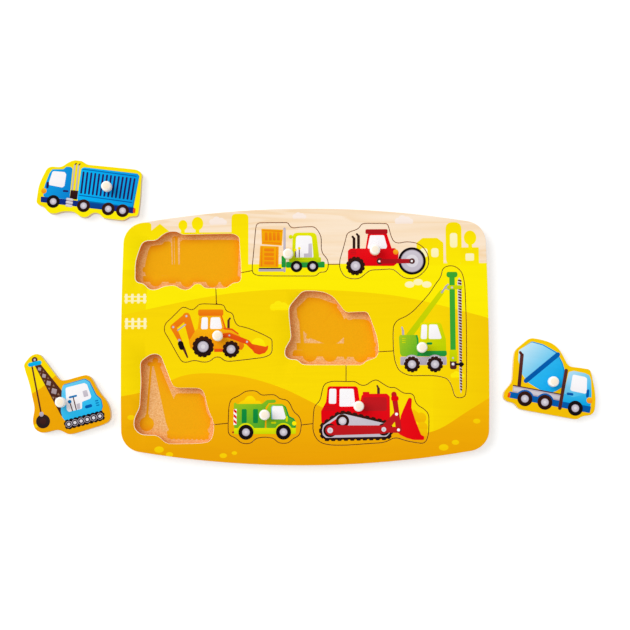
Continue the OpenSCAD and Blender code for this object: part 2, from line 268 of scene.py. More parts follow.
# %% Inks
INKS = {
    "bright yellow": ((255, 238, 0), (255, 235, 0)),
    "left yellow": ((250, 226, 0), (246, 205, 0)),
    "warm yellow": ((249, 214, 0), (253, 224, 0)),
    "right yellow": ((250, 217, 0), (243, 196, 0), 0),
    "roof yellow": ((250, 224, 0), (254, 235, 0)),
    "honey": ((248, 193, 0), (232, 150, 0)),
    "heap": ((246, 196, 0), (244, 180, 0)),
    "pale yellow": ((255, 236, 10), (255, 232, 0)),
    "sand": ((252, 214, 0), (253, 204, 0)),
    "sand top": ((254, 226, 0), (252, 208, 0)),
    "stone yellow": ((248, 211, 0), (247, 203, 0)),
    "cream": ((255, 247, 196), (255, 243, 180)),
    "cloud": ((253, 240, 232), (250, 233, 222)),
    "white": ((255, 255, 255), (252, 250, 251)),
    "pane": ((255, 254, 255), (246, 242, 246), 60),
    "step": ((214, 208, 214), (200, 192, 200)),
    "hub rim": ((168, 159, 172), (160, 150, 164)),
    "hub": ((206, 200, 210), (194, 186, 198)),
    "hub heart": ((226, 222, 228), (218, 213, 221)),
    "grey": ((190, 180, 194), (172, 161, 176)),
    "dark grey": ((130, 100, 104), (112, 84, 90)),
    "black": ((22, 12, 14), (14, 8, 12)),
    "tyre": ((56, 24, 16), (32, 13, 11)),
    "tyre edge": ((24, 12, 12), (18, 8, 10)),
    "coffee": ((92, 46, 42), (76, 32, 30)),
    "auger": ((96, 36, 32), (90, 32, 30)),
    "ball": ((50, 32, 30), (38, 24, 24)),
    "ball heart": ((66, 32, 28), (56, 26, 24)),
    "lattice": ((88, 46, 30), (66, 30, 22)),
    "lattice pane": ((176, 158, 160), (164, 146, 150)),
    "lattice gap": ((152, 118, 92), (142, 106, 80)),
    "lime": ((206, 218, 0), (168, 200, 0)),
    "light lime": ((232, 232, 0), (200, 215, 0)),
    "cab lime": ((236, 226, 0), (184, 208, 0), 40),
    "stay lime": ((206, 216, 0), (190, 206, 0)),
    "leaf": ((166, 202, 26), (62, 160, 46), 60),
    "rig body": ((172, 204, 28), (88, 172, 42), 30),
    "green": ((44, 158, 56), (24, 144, 62)),
    "mast green": ((62, 168, 48), (56, 164, 52)),
    "slot green": ((14, 140, 58), (8, 132, 60)),
    "deep green": ((20, 146, 66), (10, 130, 62)),
    "red": ((230, 0, 16), (226, 0, 14)),
    "bright red": ((230, 14, 24), (226, 0, 16)),
    "blade red": ((234, 12, 20), (228, 0, 14), 20),
    "panel red": ((196, 22, 28), (186, 24, 32)),
    "arm red": ((196, 22, 28), (184, 22, 30)),
    "dark red": ((178, 20, 28), (170, 18, 28)),
    "orange red": ((236, 92, 14), (230, 70, 14)),
    "orange": ((241, 134, 10), (236, 112, 8)),
    "honey cab": ((247, 178, 10), (243, 148, 0)),
    "amber": ((248, 176, 0), (243, 160, 0)),
    "crate": ((246, 174, 0), (242, 160, 0)),
    "slat": ((242, 140, 10), (238, 124, 10)),
    "lamp": ((250, 190, 20), (243, 130, 24)),
    "deep teal": ((0, 128, 190), (0, 104, 170)),
    "box blue": ((0, 182, 248), (0, 152, 228), 10),
    "cab blue": ((14, 170, 238), (0, 126, 206), 30),
    "crane blue": ((120, 208, 246), (0, 176, 236), 60),
    "pale cab": ((206, 232, 250), (0, 168, 232), 60),
    "low cab": ((60, 184, 236), (0, 160, 224)),
    "pale blue": ((164, 216, 242), (120, 204, 240)),
    "drum blue": ((222, 240, 250), (0, 166, 234), 48),
    "deep drum": ((70, 190, 240), (0, 164, 234), 48),
    "drum edge": ((0, 154, 218), (0, 142, 208)),
    "chassis blue": ((4, 72, 152), (2, 60, 138)),
    "mixer ground": ((250, 206, 0), (242, 188, 0)),
    "bright blue": ((0, 186, 240), (0, 168, 232)),
    "royal blue": ((0, 96, 176), (0, 84, 164)),
    "navy": ((10, 44, 130), (14, 38, 120)),
    "deep navy": ((36, 22, 92), (26, 20, 88)),
    "silhouette": ((244, 172, 0), (243, 170, 0)),
}
SEE_THROUGH = {"cloud": 0.9}
print("inks:", len(INKS))

# %% [markdown]
# The ground and sky are one picture that runs on over the sawn pieces: bright fields, hills, a bare wooden
# sky and a few plain motifs such as a shed, a silo, round trees, fences and pebbles. Drawing it once, in
# the board's own millimetres, is also how the factory does it: the sheet is printed whole and sawn after.

# %% Ground and sky
CREST_STEPS = 8


def hill(crest, low=-125):
    """A hill: a smooth line through the crest's points, closed far below the board."""
    line = []
    for i in range(len(crest) - 1):
        p = [Vector(crest[max(0, min(len(crest) - 1, i + k))]) for k in (-1, 0, 1, 2)]
        for step in range(CREST_STEPS):
            t = step / CREST_STEPS
            near = (p[2] - p[0]) * 0.5
            far = (p[3] - p[1]) * 0.5
            a = 2 * t ** 3 - 3 * t * t + 1
            b = t ** 3 - 2 * t * t + t
            line.append(tuple(p[1] * a + near * b + p[2] * (1 - a) + far * (t ** 3 - t * t)))
    line.append(tuple(crest[-1]))
    return [(line[0][0], low), (line[-1][0], low)] + line[::-1]


def round_tree(x, foot, top, wide):
    """A round-headed tree: a stout trunk and one oval crown, in one ink."""
    crown = disc(x, top - wide, wide, 0.85)
    return [block(x - 1.6, foot, x + 1.6, top - wide, 0.2), crown]


def bush(x, y, size):
    """A bush or a cloud: four humps of one ink over a flat foot."""
    humps = ((-1.05, 0.28, 0.55), (-0.3, 0.55, 0.72), (0.55, 0.42, 0.62), (1.15, 0.2, 0.45))
    rounds = [disc(x + size * a, y + size * b, size * c) for a, b, c in humps]
    return rounds + [block(x - size * 1.5, y - size * 0.2, x + size * 1.5, y + size * 0.35, 0.5)]


def fence(x, y, posts, pitch, height):
    """A picket fence: two rails and a row of round-topped posts."""
    width = pitch * (posts - 1)
    rails = [block(x - 1.6, y + height * share, x + width + 1.6, y + height * share + 1.1, 0.3)
             for share in (0.2, 0.62)]
    return rails + [block(x + i * pitch - 1.1, y, x + i * pitch + 1.1, y + height, 1.0) for i in range(posts)]


ground = [
    ("bright yellow", block(-170, -130, 170, 59, 0.1)),
    ("left yellow", soft([(-170, -130), (-127, -130), (-131, 0), (-128, 62), (-170, 62)], 2)),
    ("warm yellow", hill([(-170, 12), (-120, 24), (-60, 35), (0, 38), (70, 33), (120, 22), (170, 8)])),
    ("right yellow", hill([(104, 26.1), (120, 22), (170, 8)])),
    ("honey", hill([
        (-170, -52), (-128, -44.6), (-96, -31.6), (-58, -32), (-20, -42), (20, -61), (60, -75), (100, -79),
        (135, -60), (170, -38)])),
]
print("fields and hills:", len(ground))

# %% Buildings, trees and clouds
for outline in (
    block(-165, 55, -126, 94, 3),
    soft([(-130, 57), (-130, 84), (-119, 93), (-108, 84), (-108, 57)], 0.8),
    block(-110, 57, -46, 85.6, 0.5),
    block(-60, 60, -46, 101, 4),
    soft([(92, 57), (92, 76), (97, 80), (109, 80), (114, 76), (114, 57)], 1.5),
    block(116, 57, 129, 93, 6),
    block(128, 57, 143, 72, 0.8),
    *round_tree(-88, 84, 98.5, 5.6),
    *round_tree(-100, 84, 96, 4.4),
    *round_tree(136, 70, 86, 6),
):
    ground.append(("roof yellow", outline))
for outline in bush(-71, 93, 4.6) + bush(-4, 97.5, 3.6) + bush(82, 93, 4.8):
    ground.append(("cloud", outline))
for left in (95, 104):
    ground.append(("cream", block(left, 64, left + 6, 71.5, 2.4)))
ground.append(("cream", block(119.5, 72, 125.5, 84, 2.4)))
ground.append(("cream", block(132, 61, 139, 67, 1.4)))
for outline in fence(-146, 27, 4, 5, 8) + fence(-145.5, 6, 4, 5, 9):
    ground.append(("cream", outline))
for x, y, size in ((-20, 22, 5.2), (34, -47, 4.4), (124, -34, 3.6)):
    for outline in bush(x, y, size):
        ground.append(("pale yellow", outline))
for x, y in ((86, 41.5), (93, 43.5), (100, 41.5)):
    ground.append(("cream", disc(x, y, 2.6, 1.5)))
for x, y, size in ((-118, -92, 2.6), (-109.5, -96, 2.0), (-141, -66, 2), (-136, -72, 1.5), (-66, -97, 2),
                   (-57, -95, 1.5), (112, -91, 2.6), (121.5, -87, 2.0), (139, -70, 2)):
    ground.append(("stone yellow", disc(x, y, size, 1.5)))
print("areas of the whole ground print:", len(ground))

# %% [markdown]
# Some parts come back on every vehicle. A road wheel is a black disc with a grey hub in three tones, and a
# site tyre is a toothed ring with the same hub. Exhaust pipes are bent bars, and louvres are short slits.
# One function each keeps them alike on all nine pictures.

# %% Wheels, pipes and louvres
HUB_TONES = (("hub rim", 1), ("hub", 0.86), ("hub heart", 0.4))
ROAD_HUB = 0.52
SITE_HUB = 0.51
SITE_RIM = 0.62
LUG_DEPTH = 0.7
ARCH_STEPS = 14


def hub(x, y, radius):
    return [(ink, disc(x, y, radius * share)) for ink, share in HUB_TONES]


def wheel(x, y, radius, ink="black"):
    return [(ink, disc(x, y, radius))] + hub(x, y, radius * ROAD_HUB)


def site_tyre(x, y, radius, lugs=12):
    tread = toothed(disc(x, y, radius - LUG_DEPTH), LUG_DEPTH, lugs)
    return [("tyre", tread), ("tyre edge", disc(x, y, radius * SITE_RIM))] + hub(x, y, radius * SITE_HUB)


def arch(x, y, radius):
    """A wheel arch: the upper half of a disc."""
    turns = [math.pi * i / ARCH_STEPS for i in range(ARCH_STEPS + 1)]
    return [(x + radius * math.cos(a), y + radius * math.sin(a)) for a in turns]


def pin(x, y, radius):
    return [("grey", disc(x, y, radius)), ("hub heart", disc(x, y, radius * 0.6))]


def pipe(ink, points, widths):
    """A bent pipe: one limb from each point to the next."""
    return [(ink, limb(a, b, width)) for a, b, width in zip(points, points[1:], widths)]


def louvres(ink, left, right, high, pitch, width):
    """Three level slits below one another."""
    heights = [high - i * pitch for i in range(3)]
    return [(ink, limb((left, y), (right, y), width)) for y in heights]


print("areas of a road wheel:", len(wheel(0, 0, 5)))

# %% [markdown]
# The nine pictures follow, each a common work vehicle seen from its side. What lies behind is drawn first:
# the chassis and the load, then the cab with its panes, then lamps and steps, and the wheels last. The three
# whose pieces lie beside the board are drawn about their own lower left corner, which keeps numbers small.

# %% Container truck
truck = [
    ("navy", soft([(3.4, 13.4), (3.9, 8.7), (81.6, 8.1), (81.6, 13.3)], 0.9)),
    ("chassis blue", block(44.0, 8.3, 56.0, 13.4, 0.4)),
    ("tyre", block(27.4, 14.2, 33.6, 21.7, 0.5)),
    ("deep teal", soft([
        (34.2, 13.2), (34.0, 40.6), (36.0, 42.0), (80.6, 41.8), (82.5, 39.8), (81.0, 12.8)], 0.9)),
    ("box blue", soft([
        (33.7, 14.4), (33.5, 40.5), (35.6, 41.9), (80.2, 41.6), (82.0, 39.6), (80.2, 13.6)], 0.9)),
    ("royal blue", limb((34.9, 40.2), (79.8, 39.5), 0.8)),
    ("royal blue", limb((35.2, 18.1), (79.1, 17.1), 0.8)),
]
for i in range(14):
    x = 35.9 + i * 3.3
    truck.append(("deep navy", limb((x, 37.6 - i * 0.05), (x + 0.3 - i * 0.06, 20.4 - i * 0.05), 1.6)))
for x in (27.9, 31.1):
    truck.append(("grey", limb((x, 43.2), (x + 0.6, 22.2), 1.35)))
    truck.append(("hub", limb((x - 0.1, 43.0), (x + 0.4, 22.4), 0.5)))
    truck.append(("coffee", limb((x + 0.1, 43.4), (x + 0.9, 44.4), 1.0)))
truck += [
    ("cab blue", soft([
        (5.4, 13.4), (5.0, 20.2), (5.5, 24.0), (7.8, 33.7), (9.7, 37.2), (18.9, 38.3), (20.9, 40.7),
        (24.6, 41.0), (26.4, 39.7), (27.4, 13.4)], 1.6)),
    ("pane", soft([
        (9.3, 23.7), (8.2, 24.8), (10.0, 34.9), (11.1, 35.8), (20.1, 36.1), (21.8, 34.4), (21.7, 24.5),
        (20.1, 22.9)], 1.2)),
    ("deep navy", limb((7.6, 25.3), (7.7, 21.8), 2.1)),
    ("deep navy", limb((21.7, 20.2), (24.7, 20.3), 1.6)),
    ("lamp", disc(5.3, 18.4, 2.3)),
    ("dark grey", block(24.8, 7.4, 30.4, 14.4, 0.5)),
]
for i in range(3):
    truck.append(("step", limb((25.6, 13.8 - i * 2.6), (29.6, 13.6 - i * 2.6), 2.1)))
    truck.append(("hub heart", limb((25.9, 14.2 - i * 2.6), (29.3, 14.0 - i * 2.6), 0.7)))
truck.append(("orange red", limb((82.0, 11.8), (82.1, 9.4), 1.9)))
for x, y in ((14.2, 10.4), (39.7, 9.8), (60.4, 9.5), (72.4, 9.4)):
    truck += wheel(x, y, 5.4, "black" if x < 20 else "tyre")
print("areas of the container truck:", len(truck))

# %% Forklift
forklift = [
    ("grey", limb((-16.4, 53.2), (-16.3, 88.4), 1.9)),
    ("hub", limb((-16.7, 54), (-16.6, 88), 0.6)),
    ("grey", block(-37.7, 52.9, -15.6, 55.2, 0.5)),
    ("tyre", block(-37.4, 54.9, -19.2, 55.9, 0.2)),
    ("crate", soft([(-37.3, 56.5), (-36.4, 74.3), (-21.0, 73.6), (-21.3, 56.2)], 0.7)),
    ("crate", soft([(-35.4, 88.4), (-35.0, 75.5), (-18.5, 74.2), (-17.5, 87.5)], 0.4)),
]
for i in range(4):
    low = 58.8 + i * 3.6
    forklift.append(("slat", soft([
        (-33.0, low), (-33.0, low + 2.6), (-25.0, low + 2.4), (-25.0, low - 0.2)], 0.7)))
    left = -32.4 + i * 3.3
    forklift.append(("slat", soft([
        (left, 78.6), (left - 0.2, 85.4), (left + 2.1, 85.3), (left + 2.3, 78.5)], 0.7)))
for x in (-35.6, -23.2):
    forklift.append(("slat", soft([
        (x - 0.2, 57.2), (x + 0.2, 73.4), (x + 1.2, 73.4), (x + 0.9, 57.2)], 0.1)))
forklift += [
    ("slat", soft([(-34.2, 77.6), (-34.2, 76.7), (-19.4, 75.6), (-19.4, 76.6)], 0.1)),
    ("slat", soft([(-34.4, 87.4), (-34.4, 86.5), (-18.6, 85.6), (-18.6, 86.6)], 0.1)),
    ("green", block(-18.8, 56.2, -15.2, 65.8, 1.0)),
    ("green", block(-15.1, 55.9, 16.6, 60.9, 1.2)),
    ("lime", block(-12.7, 60.3, 13.6, 64.6, 1.2)),
    ("light lime", soft([(-10.2, 61.6), (-9.6, 85.0), (9.8, 85.0), (12.5, 61.6)], 4.4)),
    ("pane", soft([(-7.6, 63.1), (-6.8, 82.5), (6.0, 82.4), (7.6, 63.1)], 2.8)),
    ("hub", soft([(-0.4, 64.1), (-0.4, 67.6), (3.2, 67.7), (3.4, 75.8), (6.2, 76), (6.4, 64.1)], 0.5)),
    ("dark grey", limb((-7.2, 64.6), (-7.4, 70.0), 0.9)),
    ("dark grey", limb((-4.2, 64.6), (-4.2, 71.2), 0.9)),
    ("lime", block(-9, 62.4, 10, 64.4, 0.5)),
    ("bright yellow", disc(-7.4, 70.6, 1.1)),
    ("bright yellow", disc(-4.2, 72.0, 1.1)),
    ("light lime", limb((-11, 81.4), (-7.6, 80.6), 1)),
    ("light lime", disc(-11.2, 81.5, 1.7)),
]
for x in (-6.5, 6.8):
    forklift += wheel(x, 56.9, 4.8)
print("areas of the forklift:", len(forklift))

# %% Road roller
roller = [
    *pipe("tyre", [(40.7, 69), (40.8, 79.8), (39.6, 81.4)], (2.3, 1.8)),
    *pipe("tyre", [(44.4, 69), (44.5, 81.8), (43.2, 83.4)], (2.3, 1.8)),
    ("red", soft([(49.8, 69), (52.6, 85.6), (67.2, 85.6), (72.4, 69)], 1)),
    ("bright red", soft([
        (35.6, 57.1), (35.7, 69.6), (37.6, 71.5), (74.2, 71.7), (77.4, 68.9), (76.8, 60),
        (73.2, 56.9)], 1.8)),
    ("dark red", block(50.2, 83.6, 68.4, 87.5, 1.2)),
    ("pane", soft([
        (51.8, 72.3), (54.0, 82.5), (65.4, 82.5), (67.8, 73.4), (67.2, 71.3), (52.4, 71.3)], 1.2)),
    ("lamp", disc(75.0, 68.5, 2.2)),
    ("dark red", limb((55, 64.6), (60, 64.6), 0.6)),
    *louvres("dark red", 38.0, 42.2, 69.6, 1.3, 0.5),
    *site_tyre(41.9, 57.1, 7.9),
    ("black", disc(88.2, 61, 11.3)),
    ("hub rim", disc(88.2, 61, 9.3)),
    ("hub", disc(88.2, 61, 8.7)),
    ("hub heart", disc(88.2, 61, 5.2)),
    ("dark red", limb((61.8, 60.9), (88.2, 60.9), 4.0, 3.6)),
    ("coffee", disc(61.8, 60.9, 2.7)),
    ("dark red", limb((62.6, 60.9), (64.2, 60.9), 3.2)),
    ("white", disc(61.4, 60.9, 0.9)),
    ("coffee", disc(88.2, 60.9, 2.4)),
    ("white", disc(88.0, 60.9, 0.9)),
]
print("areas of the road roller:", len(roller))

# %% Backhoe loader
backhoe = [
    ("orange", limb((-96.6, 16.2), (-90.8, -3.5), 6.2, 6.8)),
    ("orange", limb((-96.6, 16.4), (-107.2, 7.4), 5.0)),
    ("orange", limb((-107.2, 7.4), (-101.6, -3.8), 4.8, 3.2)),
    ("grey", limb((-103.6, 4.8), (-97.4, 9.5), 1.1)),
    *pin(-96.6, 16.4, 0.95),
    *pin(-107.3, 7.4, 0.95),
    ("grey", limb((-102.3, -3.2), (-101.3, -5.5), 2.0)),
    ("coffee", limb((-98.8, -9.6), (-95.5, -17.2), 2.4, 1.3)),
    ("black", limb((-101.2, -6.2), (-100.2, -9.2), 4.6, 4.2)),
    *pipe("coffee", [(-62.1, 3), (-62.1, 12.6), (-61.0, 14.4)], (2.0, 1.5)),
    ("honey cab", soft([(-88.2, -2.0), (-86.0, 16.9), (-68.2, 16.9), (-64.0, 5.5), (-63.8, -2.0)], 1)),
    ("orange red", limb((-68.0, 16.4), (-64.6, 6.2), 1.0)),
    ("honey cab", soft([
        (-94.6, -4.3), (-92.2, -0.4), (-88.4, 5.8), (-63.2, 5.7), (-57.4, 4.8), (-54.1, 1.6), (-49.6, -4.5),
        (-49.6, -9.4), (-52.7, -11.7), (-92.9, -10.6)], 2.4)),
    ("orange", soft([(-53.4, -3.2), (-50.0, -4.6), (-49.2, -8.2), (-51.2, -11.6), (-53.4, -11.0)], 1.2)),
    ("orange red", soft([
        (-66.2, 6.8), (-59.0, 6.0), (-53.4, 1.8), (-54.6, 1.4), (-59.4, 4.6), (-66, 5.4)], 0.4)),
    ("orange", block(-87.0, 16.6, -66.4, 21.8, 1.6)),
    ("pane", soft([(-84.7, 5.6), (-84.0, 15.4), (-79.1, 15.5), (-79.0, 5.6)], 1.5)),
    ("pane", soft([(-77.3, 5.8), (-76.6, 15.3), (-69.2, 15.4), (-67.2, 5.8)], 1.6)),
    ("orange red", block(-73.8, -13.0, -66.8, -10.4, 0.5)),
    ("pale yellow", soft([
        (-43.8, -6.9), (-42.2, -3.4), (-39.8, -1.9), (-36.4, -1.9), (-33.4, -3.9), (-31.4, -8.6)], 1.2)),
    ("orange red", soft([
        (-44.9, -6.2), (-31.6, -9.0), (-29.6, -7.5), (-30.0, -11.0), (-32.3, -14.0), (-37.0, -15.4),
        (-40.8, -14.2), (-43.2, -10.8)], 0.9)),
    ("orange red", limb((-68.6, 0.2), (-61.4, 0.7), 3.2, 4.2)),
    ("orange red", limb((-61.4, 0.5), (-46.6, -5.2), 4.4, 3.8)),
    ("orange red", limb((-46.6, -5.2), (-42.6, -9.4), 3.8, 3.4)),
    *pin(-61.4, 0.4, 0.8),
    *pin(-47.0, -4.9, 0.9),
    *site_tyre(-82.8, -8.7, 8.9),
    *site_tyre(-60.0, -10.9, 7.1, 10),
]
print("areas of the backhoe loader:", len(backhoe))

# %% [markdown]
# Some of the pictures have a row of like areas, such as the turns of an auger, the windows of a jib's
# lattice or the rollers of a crawler. A loop draws such a row, which keeps its pitch even, and lets its
# width change slowly along the row where the real one does.

# %% Drilling rig
drill = [
    *pipe("grey", [(80.2, -0.5), (80.2, 3.6), (79.4, 6.3)], (1.7, 1.4)),
    ("stay lime", limb((84.8, -1.0), (112.0, 35.0), 5.0, 3.9)),
    ("grey", limb((112.2, 34.9), (115.2, 39.0), 1.5)),
    ("grey", limb((115.2, 39.4), (117.4, 41.4), 1.4)),
    ("grey", limb((115.4, 38.6), (117.8, 37.6), 1.4)),
    ("mast green", block(118.5, -14, 122.9, 50, 0.4)),
    ("mast green", soft([
        (116.2, 50.4), (117.2, 51.8), (124.4, 51.8), (125.3, 50.4), (125.1, 48.2), (123.6, 47.2),
        (117.8, 47.2), (116.3, 48.2)], 0.9)),
    ("hub", soft([(125.6, -43), (126.6, -48), (127.6, -43), (128.5, 44), (126.6, 47.2), (125.0, 44)], 0.3)),
]
for i in range(39):
    low = -45.4 + i * 2.34
    left = 125.7 - 0.0056 * (low + 45)
    right = 127.6 + 0.009 * (low + 45)
    drill.append(("auger", soft([
        (left + 0.3, low + 0.9), (left + 0.3, low + 1.9), (right, low + 1.5), (right, low - 0.2)], 0.2)))
drill += [
    ("stay lime", block(116.4, 37.5, 129.0, 40.8, 1.6)),
    *pin(120.6, 38.9, 0.9),
    ("coffee", block(118.0, -28.0, 123.4, -18, 1.9)),
    ("stay lime", block(117.8, -21.6, 123.8, -12.1, 1.7)),
    *pin(120.5, -18.8, 0.8),
    ("hub rim", disc(120.6, -23.8, 1.4)),
    ("white", disc(120.4, -23.6, 0.9)),
    ("black", limb((122.8, -23.9), (128.6, -23.9), 1.7)),
    ("black", disc(127.2, -23.9, 1.9)),
    ("grey", block(77.8, -24.4, 115.3, -17.6, 1.0)),
    ("rig body", soft([
        (76.8, -2.2), (77.4, 0.1), (91.6, 0.2), (92.6, -2.6), (93.2, -17.2), (79.0, -17.2),
        (77.6, -15)], 1.0)),
    ("green", soft([
        (90.4, -0.1), (91.8, 0.2), (92.7, -2.6), (93.2, -12.4), (93.2, -17.2), (92.0, -17.2),
        (91.4, -4)], 0.4)),
    ("cab lime", soft([
        (92.8, -11.3), (94.2, 9.0), (95.3, 10.2), (110.0, 10.0), (111.5, 8.8), (114.9, -3.3),
        (115.1, -13.4), (94.4, -13.4)], 1.3)),
    ("pane", soft([(94.5, -3.2), (95.4, 8.6), (99.9, 8.6), (99.5, -3.2)], 1.5)),
    ("pane", soft([(101.0, -3.2), (101.5, 8.7), (108.0, 8.6), (111.8, -3.2)], 1.5)),
    ("green", soft([(91.4, -17.3), (92.2, -12.9), (115.4, -12.8), (115.7, -15.9), (114.3, -17.4)], 1.0)),
    ("deep green", limb((100.2, -6.9), (103.0, -6.9), 1.9)),
]
for low in (-6.0, -4.4, -2.7):
    drill.append(("cab lime", limb((79.6, low), (82.2, low), 0.6)))
for x in (87.2, 105.9):
    drill.append(("hub rim", arch(x, -23.6, 7.7)))
    drill.append(("hub", arch(x, -23.6, 7.2)))
for x in (87.2, 105.9):
    drill += site_tyre(x, -23.8, 6.7, 11)
print("areas of the drilling rig:", len(drill))

# %% Wrecking crane
jib_along = Vector((0.285, -0.958))
jib_across = Vector((0.958, 0.285))


def diamond(x, y, long, wide):
    """A window of the jib's lattice, which leans as the jib does."""
    middle = Vector((x, y))
    return [tuple(p) for p in (middle + jib_across * wide, middle - jib_along * long,
                               middle - jib_across * wide, middle + jib_along * long)]


crane = [
    ("coffee", limb((11.1, 62.5), (8.4, 23.4), 1.3)),
    ("ball", disc(8.2, 16.6, 5.7)),
    ("ball heart", disc(8.2, 16.6, 2.6)),
    ("grey", limb((8.5, 22.9), (8.4, 22.3), 3.4)),
    ("coffee", disc(14.5, 67.0, 2.4)),
    ("hub", disc(14.5, 67.0, 0.95)),
    ("lattice", soft([
        (13.3, 62.6), (18.3, 62.2), (29.8, 35.4), (30.0, 12.5), (26.0, 12.5), (23.4, 17.5)], 0.5)),
]
windows = ((16.4, 58.6, 1.9), (18.5, 52.2, 2.2), (20.6, 45.4, 2.6), (23.2, 37.8, 3.1), (24.0, 29.4, 3.3))
for x, y, size in windows:
    crane.append(("lattice pane", soft(diamond(x, y, size, size * 0.9), 0.3)))
for (x, y, size), (x2, y2, size2) in zip(windows, windows[1:]):
    middle = Vector(((x + x2) / 2, (y + y2) / 2))
    for way in (-1, 1):
        at = middle + jib_across * (way * (size + size2) * 0.33)
        foot = at + jib_across * (way * size * 0.3)
        tip = at - jib_across * (way * size * 0.28)
        gap = [foot + jib_along * size * 0.42, foot - jib_along * size * 0.42, tip]
        crane.append(("lattice gap", soft([tuple(p) for p in gap][::way], 0.1)))
crane += [
    ("bright blue", limb((9.8, 64.2), (17.8, 63.7), 3.4)),
    ("deep teal", soft([
        (30.4, 38.0), (32.0, 40.9), (50.2, 40.7), (53.4, 37.4), (55.8, 25.4), (58.7, 20.8), (58.3, 14.8),
        (56.0, 11.0), (27.0, 11.4), (25.0, 15.4)], 1.6)),
    ("crane blue", soft([
        (29.9, 38.2), (31.4, 40.4), (49.7, 40.2), (52.7, 37.2), (55.1, 25.2), (58.0, 20.6), (57.7, 15.0),
        (55.6, 11.0), (26.0, 11.2), (24.2, 15.4), (24.1, 20.1)], 1.8)),
    ("pane", soft([
        (32.6, 37.0), (33.6, 37.9), (48.6, 37.4), (50.5, 35.5), (51.2, 25.2), (50.0, 23.7), (42.9, 23.1),
        (41.4, 17.7), (30.2, 18.2), (29.2, 20.5)], 1.3)),
    ("hub", block(45.4, 26.2, 49.2, 31.4, 0.7)),
    ("hub", soft([(37.6, 18.2), (38.0, 22.6), (41.0, 22.8), (40.2, 18.2)], 0.6)),
    ("coffee", limb((33.5, 18.4), (33.2, 25.4), 0.9)),
    ("coffee", limb((36.7, 18.3), (36.9, 28.6), 0.9)),
    ("deep teal", disc(33.2, 26.0, 1.5)),
    ("deep teal", limb((34.2, 29.4), (39.5, 29.2), 1.6)),
    ("royal blue", limb((45.3, 18.1), (48.8, 18.1), 2.5)),
]
for i in range(3):
    crane.append(("deep teal", limb((53.7, 20.7 - i * 1.9), (55.4, 20.6 - i * 1.9), 1.0)))
crane.append(("black", toothed(soft([(24.7, 5.0), (57.1, 4.2), (57.4, 11.4), (24.5, 12.1)], 2.6), 0.6, 21)))
for x, y in ((27.8, 8.5), (32.9, 8.4), (38.1, 8.2), (43.2, 8.1), (48.5, 7.9), (53.8, 7.8)):
    crane.append(("grey", disc(x, y, 2.7)))
    crane.append(("black", disc(x, y, 2.3)))
    crane.append(("hub heart", disc(x, y, 1.35)))
print("areas of the wrecking crane:", len(crane))

# %% Concrete mixer
mixer = [
    ("drum edge", soft([
        (8.4, 40.2), (7.4, 48.2), (16.2, 57.0), (25.8, 56.1), (37.7, 51.7), (43.5, 44.1), (46.2, 38.2),
        (46.5, 24.5), (40.4, 19.0)], 2.4)),
    ("drum blue", soft([
        (7.6, 40.2), (6.8, 47.9), (16.1, 56.2), (25.4, 55.2), (37.0, 50.8), (42.7, 43.5), (45.2, 37.9),
        (45.6, 24.7), (40.0, 19.0), (36.5, 18.2), (28.1, 19.2), (18.4, 23.2), (12.5, 29.1)], 2.4)),
    ("deep drum", soft([
        (38.4, 48.6), (42.7, 43.5), (45.2, 37.9), (45.6, 24.7), (40.0, 19.0), (36.5, 18.2), (28.1, 19.2),
        (17.6, 23.6)], 1.6)),
    ("royal blue", limb((16.4, 24.3), (38.7, 49.9), 3.7)),
    *pipe("coffee", [(11.6, 18.8), (10.0, 44.6), (8.3, 46.4)], (2.9, 2.2)),
    ("royal blue", soft([(4.4, 13.5), (4.8, 8.5), (71.4, 7.2), (71.6, 12.8)], 0.9)),
    ("grey", soft([(6.8, 19.0), (7.0, 13.6), (46.4, 13.0), (46.6, 18.4)], 0.4)),
    ("step", soft([(7.4, 17.4), (7.6, 14.6), (45.6, 14.0), (45.8, 16.8)], 0.6)),
    ("coffee", limb((6.9, 18.9), (46.2, 18.3), 0.9)),
    ("pale cab", soft([
        (47.3, 12.6), (49.6, 37.3), (53.4, 38.9), (62.6, 38.6), (66.4, 37.4), (68.3, 34.1), (70.5, 22.6),
        (71.2, 12.6)], 1.8)),
    ("low cab", soft([
        (47.4, 12.6), (47.9, 19.6), (56.0, 17.6), (63.0, 20.6), (70.7, 21.6), (71.2, 12.6)], 1.2)),
    ("pane", soft([
        (53.1, 35.1), (53.9, 35.9), (63.1, 35.6), (65.0, 34.5), (66.4, 23.2), (65.1, 22.1), (54.1, 22.5),
        (52.8, 23.6)], 0.9)),
    ("royal blue", limb((51.5, 19.7), (55.0, 19.8), 2.1)),
    ("royal blue", limb((67.2, 24.9), (67.4, 20.4), 2.3)),
    ("lamp", disc(69.6, 17.4, 2.5)),
    ("coffee", limb((47.4, 38.2), (46.8, 7.0), 2.8)),
    ("orange red", limb((4.7, 11.7), (4.5, 9.5), 2.0)),
]
for x, y in ((17.8, 9.8), (34.2, 9.7)):
    mixer.append(("royal blue", arch(x, y, 7.3)))
for x, y in ((17.8, 9.8), (34.2, 9.7), (59.2, 9.1)):
    mixer += wheel(x, y, 6.1, "tyre" if x < 40 else "black")
print("areas of the concrete mixer:", len(mixer))

